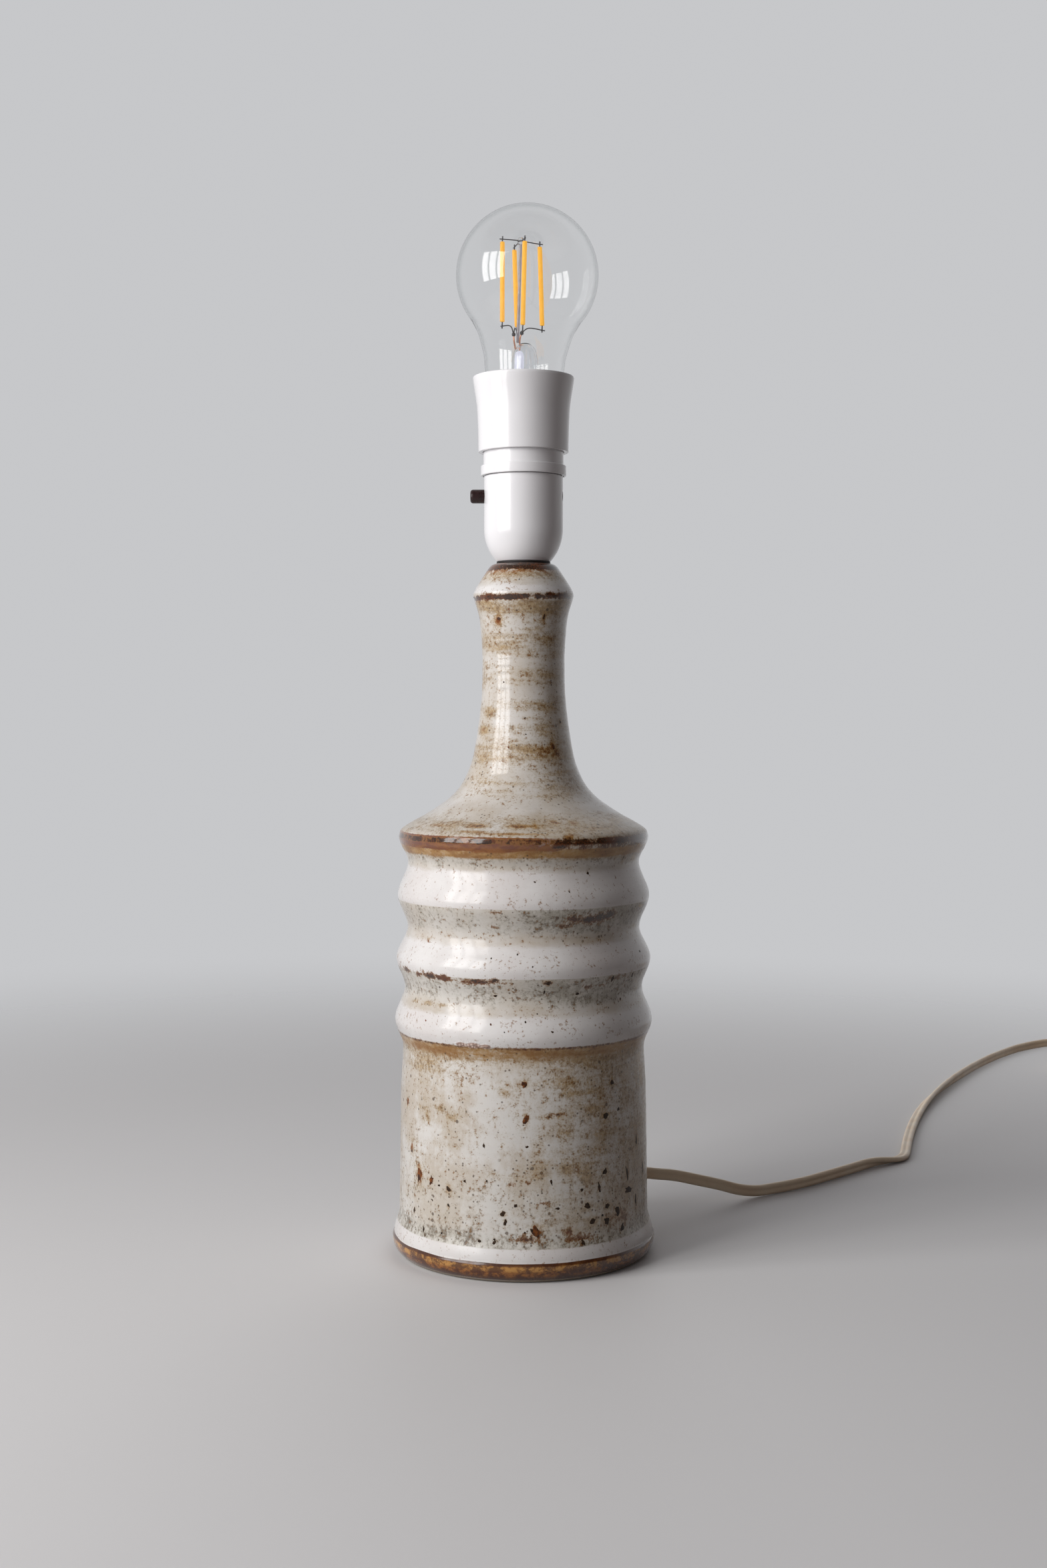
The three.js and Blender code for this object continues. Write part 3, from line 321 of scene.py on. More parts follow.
# A noise centred on nothing, so that it only roughens what it is added to.
def swing(value, size):
    return times(maths("SUBTRACT", value, 0.5), size)


# Mixes two colours, each a socket or a plain tint.
def mixed(share, first, second):
    first, second = ((*tint, 1.0) if isinstance(tint, tuple) else tint for tint in (first, second))
    return addNode(share.id_data, "Mix", {0: share, 6: first, 7: second}, data_type="RGBA").outputs[2]


def bumpOf(shader, height, depth):
    made = addNode(shader.id_data, "Bump", {"Height": height, "Distance": depth * mm, "Strength": 1.0})
    setInputs(shader, {"Normal": made.outputs["Normal"]})
    return made.outputs["Normal"]


# A finish with two close tints, a little wear in its gloss and a fine surface.
def plainFinish(name, first, second, roughness, metallic=0.0, scale=180.0, bump=0.02, ior=1.5):
    finish, shader, place = newFinish(name)
    broad = grain(place, scale, 4, 0.55)
    setInputs(shader, {
        "Base Color": mixed(eased(broad, 0.35, 0.65), first, second),
        "Roughness": eased(broad, 0.3, 0.7, *roughness),
        "Metallic": metallic,
        "IOR": ior,
    })
    bumpOf(shader, grain(place, scale * 9, 3, 0.6), bump)
    return finish


creamFlex = plainFinish("cream flex", (0.94, 0.78, 0.58), (0.89, 0.7, 0.5), (0.28, 0.42), scale=90, bump=0.04)
bushRubber = plainFinish("bush rubber", (0.5, 0.43, 0.34), (0.42, 0.36, 0.28), (0.5, 0.65), scale=300,
                         bump=0.05)
steelFinish = plainFinish("dull steel", (0.42, 0.42, 0.43), (0.55, 0.55, 0.56), (0.3, 0.45), 1.0, scale=400)
brassFinish = plainFinish("brass", (0.62, 0.44, 0.17), (0.72, 0.54, 0.24), (0.22, 0.36), 1.0, scale=300)
nickelFinish = plainFinish("nickel plate", (0.62, 0.61, 0.58), (0.72, 0.71, 0.69), (0.16, 0.3), 1.0, scale=300)
solderFinish = plainFinish("solder", (0.45, 0.45, 0.47), (0.6, 0.6, 0.62), (0.3, 0.5), 1.0, scale=900,
                           bump=0.1)
blackGlass = plainFinish("black glass", (0.01, 0.01, 0.012), (0.018, 0.017, 0.019), (0.08, 0.2))
washerBlack = plainFinish("washer", (0.018, 0.015, 0.014), (0.03, 0.026, 0.025), (0.5, 0.7), scale=400)
boardGreen = plainFinish("driver board", (0.05, 0.12, 0.04), (0.09, 0.17, 0.06), (0.4, 0.6), scale=500)
copperFinish = plainFinish("copper wire", (0.72, 0.33, 0.2), (0.82, 0.42, 0.27), (0.2, 0.34), 1.0, scale=600)
darkWire = plainFinish("dark wire", (0.05, 0.045, 0.045), (0.1, 0.09, 0.09), (0.35, 0.5), 0.8, scale=900)
coreBrown = plainFinish("brown core", (0.1, 0.035, 0.015), (0.14, 0.05, 0.02), (0.35, 0.5))
coreBlue = plainFinish("blue core", (0.015, 0.07, 0.32), (0.02, 0.1, 0.4), (0.35, 0.5))
pushBrown = plainFinish("brown push bar", (0.016, 0.005, 0.005), (0.026, 0.008, 0.008), (0.24, 0.4), scale=260)
sleeveBlack = plainFinish("pin sleeve", (0.015, 0.015, 0.017), (0.028, 0.028, 0.03), (0.35, 0.5))
tieBlack = plainFinish("cord tie", (0.02, 0.02, 0.022), (0.035, 0.035, 0.04), (0.5, 0.7), scale=900, bump=0.1)
plugWhite = plainFinish("plug plastic", (0.76, 0.745, 0.71), (0.71, 0.695, 0.66), (0.24, 0.4), scale=60,
                        bump=0.03)
rodGlass = plainFinish("support rod glass", (0.6, 0.57, 0.63), (0.5, 0.48, 0.54), (0.05, 0.14), scale=300)
milkGlass = plainFinish("pale exhaust glass", (0.93, 0.93, 0.99), (0.86, 0.85, 0.94), (0.08, 0.18), scale=300)
# The emission is a painted glow, which keeps the pale tube bright inside the bulb.
setInputs(milkGlass.node_tree.nodes["Principled BSDF"],
          {"Emission Color": (0.8, 0.8, 0.95, 1), "Emission Strength": 0.6})


def makeWhiteGloss():
    finish, shader, place = newFinish("white gloss plastic")
    colour = mixed(grain(place, 45), (0.87, 0.86, 0.875), (0.9, 0.89, 0.905))
    dust = eased(grain(place, 900, 2, 0.7), 0.68, 0.8)
    setInputs(shader, {
        "Base Color": mixed(times(dust, 0.1), colour, (0.35, 0.32, 0.3)),
        "Roughness": eased(grain(place, 120, 4, 0.6), 0.3, 0.75, 0.17, 0.27),
        "IOR": 1.5,
        "Coat Weight": 0.5,
        "Coat Roughness": 0.09,
    })
    bumpOf(shader, grain(place, 70, 2, 0.4), 0.12)
    return finish


def makeClearGlass(name, tint, paintedRimShade, roughness):
    finish, shader, place = newFinish(name)
    # The base colour darkens towards the outline as the glass is seen: painted shade for the dark edge of
    # curved glass.
    facing = addNode(finish.node_tree, "LayerWeight", {"Blend": 0.5}).outputs["Facing"]
    setInputs(shader, {
        "Base Color": mixed(eased(facing, 0.62, 0.98), tint, paintedRimShade),
        "Transmission Weight": 1.0,
        "IOR": 1.5,
        "Roughness": roughness,
    })
    bumpOf(shader, grain(place, 35, 2, 0.4), 0.02)
    return finish


def makeAmber():
    finish, shader, place = newFinish("amber filament")
    beads = grain(stretched(place, (1, 1, 0.6)), 700, 2)
    colour = mixed(beads, (1.0, 0.43, 0.02), (1.0, 0.53, 0.04))
    # The emission is a painted glow, which keeps the filaments bright inside the glass.
    setInputs(shader, {
        "Base Color": colour,
        "Roughness": 0.42,
        "Emission Color": colour,
        "Emission Strength": 0.48,
    })
    bumpOf(shader, beads, 0.12)
    return finish


whiteGloss = makeWhiteGloss()
bulbGlass = makeClearGlass("bulb glass", (0.985, 0.988, 0.988), (0.47, 0.51, 0.51), 0.0)
stemGlass = makeClearGlass("stem glass", (0.95, 0.96, 0.97), (0.35, 0.36, 0.4), 0.02)
amber = makeAmber()
print("plain finishes ready")

# Cord: routes as in the part, [x, y, rise above lying on the table]
cord = {
    "width": 5.2,
    "thickness": 2.7,
    "lift": 0.15,
    "exitHeight": 19,
    "exitAngle": 45,
    "bushReach": 70,
    "hiddenInBush": 6,
    "gap": 0.25,
    "lead": [
        (54.2, 53.9, 15.65), (60, 58, 14.2), (69, 63, 12.2), (79, 67.5, 9.2), (90, 72.3, 5.8),
        (99.5, 77.4, 2.3), (108, 83, 0.35), (117, 89, 0), (131, 99, 0), (146, 113.5, 0),
        (160, 128, 0), (168.5, 137, 0), (176, 144, 0), (183.4, 149.2, 0), (187.4, 152.7, 0),
        (190.4, 157.1, 0), (192.4, 162, 0), (195.5, 174, 0), (199.8, 192, 0), (206.3, 217, 0),
        (215, 247, 0), (226.5, 281, 0), (240, 314, 0), (256, 348, 0), (273, 381, 0),
        (291, 412.5, 0), (309, 440, 0), (328.5, 464.5, 0), (348.5, 481.5, 0), (362, 488.3, 0),
        (375.4, 489.7, 0), (388.1, 485.6, 0), (397.9, 477.5, 0), (404, 467, 0), (406, 455, 0),
        (406, 438, 0), (406, 419, 0), (406, 400, 0),
    ],
    "tail": [
        (405.4, 379, 4.8), (402, 366, 3.4), (394, 352, 3.2), (386.4, 340, 5.4),
        (382.8, 330, 8.3), (382, 322, 9.05), (382, 316, 9.05),
    ],
    "spacing": 1.6,
    "leavesCoil": 5.2,
    "hiddenInPlug": 6,
    "turnsFlat": (150, 188),
    "turnsUp": (260, 430),
    "coilRadius": 35.3,
    "coilPitch": 3.3,
    "coilTurns": 5,
    "coilClimb": 5.8,
    "climbTurns": 0.5,
    "stepsPerTurn": 48,
    "coreSpread": 1.25,
    "coreArc": 125,
    "groove": 0.98,
    "length": 1.75,
}
lying = cord["lift"] + cord["width"] / 2
exitAngle = math.radians(cord["exitAngle"])
exitLevel = np.array((-math.sin(exitAngle), math.cos(exitAngle), 0))
coilCentre = np.array((cord["lead"][-1][0] - cord["coilRadius"],
                       cord["lead"][-1][1] - cord["gap"] - cord["width"], 0))


def outFrom(reach, height):
    return np.array((reach * math.cos(exitAngle), reach * math.sin(exitAngle), height))


def lengthsAlong(path):
    return np.concatenate([[0], np.cumsum(np.linalg.norm(np.diff(path, axis=0), axis=1))])


# Two round cores side by side with a shallow groove between them.
def flexSection(steps=9):
    radius = cord["thickness"] / 2
    half = []
    for k in range(steps + 1):
        angle = math.radians(cord["coreArc"] * (2 * k / steps - 1))
        half.append((cord["coreSpread"] + radius * math.cos(angle), radius * math.sin(angle)))
    other = [(-a, -b) for a, b in half]
    return [(0, -cord["groove"]), *half, (0, cord["groove"]), *other]


# The coil winds inwards on the table, climbs on itself and winds outwards again.
def coilPlaces():
    half = cord["coilTurns"] / 2
    climb = cord["climbTurns"] / 2
    places = []
    for k in range(round(cord["coilTurns"] * cord["stepsPerTurn"]) + 1):
        turns = k / cord["stepsPerTurn"]
        radius = cord["coilRadius"] - cord["coilPitch"] * (half - abs(turns - half))
        height = lying + cord["coilClimb"] * smooth(turns, half - climb, half + climb)
        angle = -2 * math.pi * turns
        places.append(coilCentre + (radius * math.cos(angle), radius * math.sin(angle), height))
    return places


def cordRoute():
    start = outFrom(cord["bushReach"] - cord["hiddenInBush"], cord["exitHeight"])
    end = outFrom(cord["bushReach"] + cord["gap"] / 2, cord["exitHeight"])
    lead, tail = ([(x, y, lying + rise) for x, y, rise in cord[part]] for part in ("lead", "tail"))
    coil = coilPlaces()
    first = curveThrough([end, *lead, coil[0]], cord["spacing"])[:-1]
    last = curveThrough([coil[-1], coil[-1] - (0, cord["leavesCoil"], 0), *tail], cord["spacing"])[1:]
    into = (tail[-1][0], tail[-1][1] - cord["hiddenInPlug"], tail[-1][2])
    return np.vstack([[start], first, coil, last, [into]])


# Past the bend the flex rolls over and lies flat for a while.
def makeCord():
    path = cordRoute()
    along = lengthsAlong(path)
    turns = math.pi / 2 * smooth(along, *cord["turnsFlat"]) * (1 - smooth(along, *cord["turnsUp"]))
    path[:, 2] -= cord["coreSpread"] * (1 - np.cos(turns))
    piece = loft("flat_flex", sweepLoops(path, flexSection(), upright, turns), creamFlex, sharp=60)
    dress(piece, "base", "flex_cream", "cord_lead", "cord_coil", "cord_tail")
    print("cord length", round(float(lengthsAlong(path)[-1]), 1), "mm")
    return piece, path


flex, flexPath = makeCord()

# Grommet and strain relief where the flex leaves the body: distance from the axis and radius
bush = {
    "outline": [
        (41.75, 3.5), (42.3, 4.05), (52.1, 4.1), (52.15, 4.6), (52.5, 4.9), (53.8, 4.9), (54.15, 4.6),
        (54.3, 4.1), (56, 4.08), (56.4, 3.55), (58.2, 3.55), (58.6, 4.02), (60.2, 4), (60.6, 3.5),
        (62.4, 3.5), (62.8, 3.94), (64.4, 3.92), (64.8, 3.45), (66.6, 3.45), (67, 3.86), (69.3, 3.8),
        (70, 3.3),
    ],
    "hole": [(70, 0.35), (68.8, 0.12), (43, 0.12), (41.75, 0.3)],   # distance and slack round the flex
    "coreSteps": 11,
}


def makeBush():
    section = np.array(flexSection(bush["coreSteps"]))
    lengths = np.linalg.norm(section, axis=1)
    turn = np.linspace(-math.pi / 2, 1.5 * math.pi, len(section), endpoint=False)
    loops = []
    for reach, radius in bush["outline"]:
        centre = outFrom(reach, cord["exitHeight"])
        loops.append([centre + radius * (math.cos(t) * upright - math.sin(t) * exitLevel) for t in turn])
    for reach, slack in bush["hole"]:
        centre = outFrom(reach, cord["exitHeight"])
        grown = section * ((lengths + slack) / lengths)[:, None]
        loops.append([centre + a * upright - b * exitLevel for a, b in grown])
    piece = loft("cord_grommet", loops, bushRubber, closed=True, sharp=50)
    return dress(piece, "base", "bush_rubber", "cord_bush")


grommet = makeBush()

# The flex inside, up the hollow body and through the threaded tube: distance from the axis and height
innerFlex = {
    "route": [
        (64.3, 19), (56, 19), (46, 19), (38, 19.3), (29, 22.5), (18, 32), (8, 52), (2, 84), (0, 120),
        (0, 200), (0, 298),
    ],
    "spacing": 2.5,
    "twist": (0.13, 0.35),   # shares of its length
}


def makeInnerFlex():
    path = curveThrough([outFrom(*place) for place in innerFlex["route"]], innerFlex["spacing"])
    along = lengthsAlong(path)
    turns = -math.pi / 2 * (1 - smooth(along / along[-1], *innerFlex["twist"]))
    piece = loft("inner_flat_flex", sweepLoops(path, flexSection(), exitLevel, turns), creamFlex, sharp=60)
    dress(piece, "base", "flex_cream", "inner_flex")


makeInnerFlex()

# The tie round the coil, with its two ends twisted and let go
tie = {
    "angle": 60,
    "inner": 25.4,
    "outer": 37.5,
    "top": 12.1,
    "width": 3.2,
    "thickness": 0.55,
    "squareness": 0.42,
    "steps": 48,
    "knot": (36.3, 8.4),   # out from the coil's middle and up
    "end": [(0.4, 1.0, 0), (2.5, 4, 1.2), (5.5, 6.5, -0.6), (9, 7.6, -3.2)],   # aside, out and up
    "endSection": [(-0.28, -1.3), (0.28, -1.3), (0.28, 1.3), (-0.28, 1.3)],
}


def makeTie():
    angle = math.radians(tie["angle"])
    out = np.array((math.cos(angle), math.sin(angle), 0))
    across = np.array((-math.sin(angle), math.cos(angle), 0))
    middle = (tie["inner"] + tie["outer"]) / 2
    spread = (tie["outer"] - tie["inner"]) / 2
    tall = tie["top"] / 2
    half = across * tie["width"] / 2
    loops = []
    for c, s in circle(1, tie["steps"]):
        corners = []
        for shrink in (0, tie["thickness"]):
            x = math.copysign(abs(c) ** tie["squareness"], c) * (spread - shrink)
            z = math.copysign(abs(s) ** tie["squareness"], s) * (tall - (shrink if s > 0 else shrink * 0.2))
            corners.append(coilCentre + out * (middle + x) + upright * (tall + 0.02 + z))
        outer, inner = corners
        loops.append([outer - half, outer + half, inner + half, inner - half])
    pieces = [loft("coil_tie", loops, tieBlack, closed=True, sharp=30)]
    knot = coilCentre + out * tie["knot"][0] + upright * tie["knot"][1]
    for name, side in (("tie_tail_a", -1), ("tie_tail_b", 1)):
        path = [knot + across * side * aside + out * away + upright * up for aside, away, up in tie["end"]]
        loops = sweepLoops(curveThrough(path, 0.8), tie["endSection"], out)
        pieces.append(loft(name, loops, tieBlack, sharp=30))
    return [dress(piece, "base", "black_rubber") for piece in pieces]


tiePieces = makeTie()
print("cord ready")

# Plug on its back, with its pins up: (inset, height) up the back and the face, pins as (wide, deep, reach)
plug = {
    "centre": (382, 298, 0.15),
    "width": 50,
    "length": 52,
    "entryWidth": 30,
    "entryHeight": 11.65,
    "shoulder": 17,
    "corner": 7,
    "cornerSteps": 10,
    "back": [
        (3.2, 0), (1.9, 0.12), (0.9, 0.62), (0.25, 1.5), (0, 2.9), (0, 15.2), (0.25, 15.5), (2.4, 15.5),
        (2.5, 15.2), (2.6, 4.2), (3.6, 3.1),
    ],
    "face": [(0.9, 15.75), (0.2, 15.75), (0, 16.05), (0, 21.55), (0.35, 22.4), (1.1, 22.75)],
    "faceTop": 22.75,
    "ribs": {"count": 5, "first": -2.5, "step": -3.4, "out": 0.35, "foot": 4.2, "tall": 8.2, "radius": 0.85},
    "pinRow": 22.23,
    "earthFromEnd": 11,
    "earth": (4, 8, 22.7),
    "power": (6.35, 4, 17.7),
    "pinFoot": 9.7,
    "pinSlack": 0.5,
    "pinSlot": (4, 0.3),   # its depth and rounding
    "sleeve": (0.16, 0.5, 8.6),   # how much thicker than the pin, and how far below and above the face
    "screwWell": (3.2, 3.5),   # depth and radius
    "screwSlot": (7, 0.95, 1.6),
    "screw": [(0, 6.5), (1.6, 6.5), (1.6, 20.75), (3.2, 20.75, 0.2), (3.2, 22.5, 0.4), (0, 22.75)],
}
plugCentre = np.array(plug["centre"], float)


def plugOutline(inset):
    side = plug["width"] / 2 - inset
    end = -plug["length"] / 2 + inset
    front = plug["length"] / 2 - inset
    entry = plug["entryWidth"] / 2 - inset * 0.6
    corner = max(plug["corner"] - inset, 0.8)
    taper = plug["length"] / 2 - plug["shoulder"]
    runs = [
        [(side - corner, end), (side, end), (side, end + corner)],
        [(side, taper), (side, front - corner), (entry, front)],
        [(-entry, front), (-side, front - corner), (-side, taper)],
        [(-side, end + corner), (-side, end), (-side + corner, end)],
    ]
    points = []
    for a, b, c in (np.array(run, float) for run in runs):
        for t in np.linspace(0, 1, plug["cornerSteps"] + 1):
            points.append((1 - t) ** 2 * a + 2 * t * (1 - t) * b + t * t * c)
    return points


def plugShell(name, levels):
    loops = [[plugCentre + (x, y, z) for x, y in plugOutline(inset)] for inset, z in levels]
    return loft(name, loops, plugWhite, sharp=32)


def makePlug():
    back = plugShell("plug_back", plug["back"])
    entry = plugCentre + (0, plug["length"] / 2, plug["entryHeight"])
    section = [(a * 1.25, b * 1.3) for a, b in flexSection()]
    loops = sweepLoops([entry - (0, 6, 0), entry + (0, 3, 0)], section, upright)
    cutters = [loft("cutter", loops, plugWhite)]
    ribs = plug["ribs"]
    for side in (-1, 1):
        for k in range(ribs["count"]):
            x = side * (plug["width"] / 2 + ribs["out"])
            start = plugCentre + (x, ribs["first"] + ribs["step"] * k, ribs["foot"])
            cutters.append(rod("cutter", start, start + (0, 0, ribs["tall"]), ribs["radius"], plugWhite, 16))
    carve(back, cutters, 32)
    dress(back, "base", "plug_plastic", "plug_cover")

    top = plug["faceTop"]
    face = plugShell("plug_face", plug["face"])
    liveY = plug["earthFromEnd"] + plug["pinRow"] - plug["length"] / 2
    pins = {
        "earth": (0, liveY - plug["pinRow"], plug["earth"]),
        "live": (plug["pinRow"] / 2, liveY, plug["power"]),
        "neutral": (-plug["pinRow"] / 2, liveY, plug["power"]),
    }
    slack, (slotDepth, rounding) = plug["pinSlack"], plug["pinSlot"]
    cutters = [block(plugCentre + (x, y, top - 1.0), (wide + slack, deep + slack, slotDepth), rounding)
               for x, y, (wide, deep, _) in pins.values()]
    depth, radius = plug["screwWell"]
    screwTop = plugCentre + (0, 0, top + 1)
    cutters.append(rod("cutter", screwTop - upright * depth, screwTop, radius, plugWhite, 48))
    carve(face, cutters, 32)
    dress(face, "base", "plug_plastic", "plug_base")

    pieces = [back, face]
    over, below, above = plug["sleeve"]
    for name, (x, y, (wide, deep, reach)) in pins.items():
        pin = flatPin("pin_" + name, brassFinish, x, y, wide, deep, plug["pinFoot"], top + reach)
        pieces.append(dress(pin, "base", "brass", "plug_pin_" + name))
        if name != "earth":
            sleeve = flatPin("sleeve_" + name, sleeveBlack, x, y, wide + over, deep + over, top - below,
                             top + above, 0.35)
            pieces.append(dress(sleeve, "base", "black_glass"))
    screw = spin("plug_centre_screw", softened(plug["screw"], closed=False), steelFinish, 48, closed=False,
                 sharp=32, at=plugCentre)
    carve(screw, [block(plugCentre + (0, 0, top), plug["screwSlot"], 0.05)], 32)
    return [*pieces, dress(screw, "base", "steel", "plug_screw")]


# A block for cutting slots
def block(centre, size, rounding):
    x, y, z = (value / 2 for value in size)
    loops = []
    for inset, height in ((rounding, -z), (0, -z + rounding), (0, z - rounding), (rounding, z)):
        loops.append([centre + (a * (x - inset), b * (y - inset), height)
                      for a, b in ((-1, -1), (1, -1), (1, 1), (-1, 1))])
    return loft("cutter", loops, plugWhite, sharp=30)


# A flat pin with rounded corners and a bevelled end.
def flatPin(name, finish, x, y, wide, deep, low, high, bevel=1.4):
    loops = []
    for inset, z in ((0.3, low), (0, low + 0.3), (0, high - bevel), (0.25, high - bevel * 0.45), (0.9, high)):
        half = np.array((wide / 2 - inset, deep / 2 - inset))
        corner = min(0.55, half.min() * 0.6)
        loop = []
        for t in turnAngles(24) + math.pi / 24:
            a, b = math.cos(t), math.sin(t)
            loop.append(plugCentre + (x + math.copysign(half[0] - corner, a) + corner * a,
                                      y + math.copysign(half[1] - corner, b) + corner * b, z))
        loops.append(loop)
    return loft(name, loops, finish, sharp=35)


plugPieces = makePlug()
print("plug ready")

# Stoneware body: outlines as (radius, height); None makes the next stretch straight
pot = {
    "contactRadius": 50,
    "foot": (55, 7),
    "hollows": [
        (54.3, 8.6), (52.2, 17.5), None, (51.5, 67), (50.7, 86), (54.05, 97.1), (49.9, 110.9), (53.4, 122.8),
        (48.8, 135.9), (52.9, 149.1), (48.7, 163), (52.6, 173.8),
    ],
    "neck": [
        (52.6, 173.8), (51.68, 176.25), (47, 179.5), (40.95, 182.8), (35.61, 186.3), (31.12, 189.6),
        (27.68, 193.1), (25.43, 196.4), (23.8, 199.7), (22.5, 203), (21.4, 206.4), (20.1, 213.2),
        (18.83, 221.6), (17.63, 232.8), (17.35, 244.2), (17.38, 249.8), (17.7, 255.6), (18.7, 265.6),
        (19.5, 268.9), (20.6, 272.3), (21.2, 274.9), (20.32, 277.3), (19.3, 279.1), (18.21, 280.8),
        (16.6, 283.4), (15.04, 285.8), (14.2, 286.9), (13.2, 287.7), (12.4, 288),
    ],
    "inside": [
        (5.5, 288), (5.5, 281.5), (12.35, 281.5), (12.35, 246), (13.87, 221), (16.2, 206.6),
        (19.28, 197.5), (25.43, 188.3), (36.4, 179.9), (43.7, 174.9), (43.7, 0.6), (44.3, 0),
    ],
    "sides": 360,
    "rowHeight": 0.42,
    "throwingDepth": 0.028,
    "wobble": 0.12,
    "cordHole": (38, 60, 4.35),   # from, to and radius
    "bushSeat": (51.9, 60, 5.15),
}

# Marks on the glaze: angle from the front towards the right, height, half width and half height
marks = {
    "specks": [
        (-42.5, 160.9, 0.42, 0.31), (-26.4, 160.9, 0.5, 0.45), (-16.2, 162.1, 0.32, 0.34),
        (-36.3, 154.9, 0.43, 0.41), (5.1, 158.4, 0.41, 0.41), (31.7, 161.2, 0.56, 0.62),
        (20.6, 154.4, 0.37, 0.34), (-23.2, 132.8, 0.45, 0.48), (-22.5, 136.8, 0.33, 0.31),
        (-14.3, 128.1, 0.42, 0.41), (-2.7, 129.8, 0.41, 0.45), (3.9, 125.2, 0.41, 0.48),
        (66.5, 127.4, 1.03, 0.48), (0.8, 103.3, 0.41, 0.48), (-8.1, 99.4, 0.28, 0.31), (12.2, 99.4, 0.56, 0.55),
        (4.9, 138.8, 0.28, 0.31), (55, 166.2, 0.5, 1.37), (-41.5, 115.1, 0.46, 0.34),
        (-12.9, 113.1, 0.84, 0.55), (6.1, 106.3, 0.34, 0.34), (25.2, 113.5, 0.91, 0.55),
        (51.8, 109.3, 0.6, 0.62), (43.2, 118.6, 1, 1.51), (57.8, 118.6, 0.8, 1.17), (10.8, 118.4, 1.19, 1.03),
        (9.4, 114.9, 0.35, 1.03), (44.2, 76.8, 0.9, 1.03), (39.7, 63.7, 0.98, 0.89), (48.2, 65.3, 0.5, 0.55),
        (-17.7, 53.8, 0.36, 0.69), (1.5, 53.8, 0.62, 0.34), (63.4, 50.5, 0.45, 1.51), (-35.3, 34.8, 0.85, 1.03),
        (39, 41.4, 0.8, 0.82), (-26.8, 39, 0.46, 0.41), (12.2, 39.8, 0.35, 0.82), (-16.3, 39.8, 0.36, 0.41),
        (55.2, 31.5, 1.7, 1.03), (-3.4, 30.7, 0.62, 0.48), (29.4, 29.1, 0.95, 0.89), (40.5, 27.4, 0.8, 0.69),
        (47, 24.1, 1, 1.37), (39.9, 21.6, 0.95, 0.96), (32.1, 22.4, 1.05, 0.89), (37.4, 24.1, 0.43, 0.41),
        (49.8, 17.3, 0.9, 1.23), (-9, 27.4, 0.83, 0.82), (-7.9, 24.1, 0.5, 1.03), (-19.6, 16.1, 0.6, 0.69),
        (-38.9, 16.8, 0.44, 0.41), (-50.7, 16.5, 0.4, 0.89), (71.7, 37.3, 0.6, 1.71), (54.4, 38.1, 0.45, 2.06),
        (35.7, 35.6, 0.45, 1.37), (-12.7, 16, 0.56, 0.69), (-31.6, 25.8, 0.4, 0.41), (-21.4, 24.1, 0.29, 0.34),
        (-35.3, 28.2, 0.4, 0.82), (-58.8, 22.4, 0.4, 0.82), (3.6, 20.8, 0.41, 0.55), (61.9, 25.8, 0.45, 1.71),
        (26.7, 35.6, 0.46, 0.48), (-40.8, 35.6, 0.5, 0.34), (26.9, 14.8, 0.6, 0.82), (-12.8, 17.3, 0.7, 0.48),
        (-25.5, 19.1, 0.3, 0.34), (-45, 29.1, 0.39, 0.34), (0.6, 20, 0.34, 0.34), (15, 29.1, 0.71, 0.34),
        (-28.2, 238.1, 0.45, 0.42), (1.9, 223.3, 0.4, 0.42), (54.2, 221.6, 0.6, 0.8), (27.1, 265.2, 0.45, 1.28),
        (2.3, 261.8, 0.3, 0.34), (43, 228.9, 0.3, 0.5), (2.8, 216.6, 0.32, 0.34), (-5.3, 280.7, 0.28, 0.8),
        (52.3, 234.1, 0.35, 0.34),
    ],
    "rustSpots": [
        (-51.4, 132.8, 0.49, 0.69), (-47.9, 101.2, 0.5, 0.41), (-14.2, 102.2, 0.42, 0.48),
        (-15.1, 164.8, 0.36, 0.34), (0.5, 78.5, 0.75, 0.82), (1.2, 64.5, 0.75, 1.51), (-67.7, 65.3, 0.6, 1.23),
        (-61.9, 47.2, 0.6, 1.51), (-54.5, 38.1, 1.3, 2.74), (-45.7, 36.5, 0.9, 1.17), (5.5, 20, 1.17, 1.92),
        (-34.6, 263.7, 1.2, 1.6), (-18.1, 268.4, 0.5, 0.6), (-17.7, 211.2, 0.4, 0.5), (36.7, 211.5, 0.8, 1.2),
    ],
}

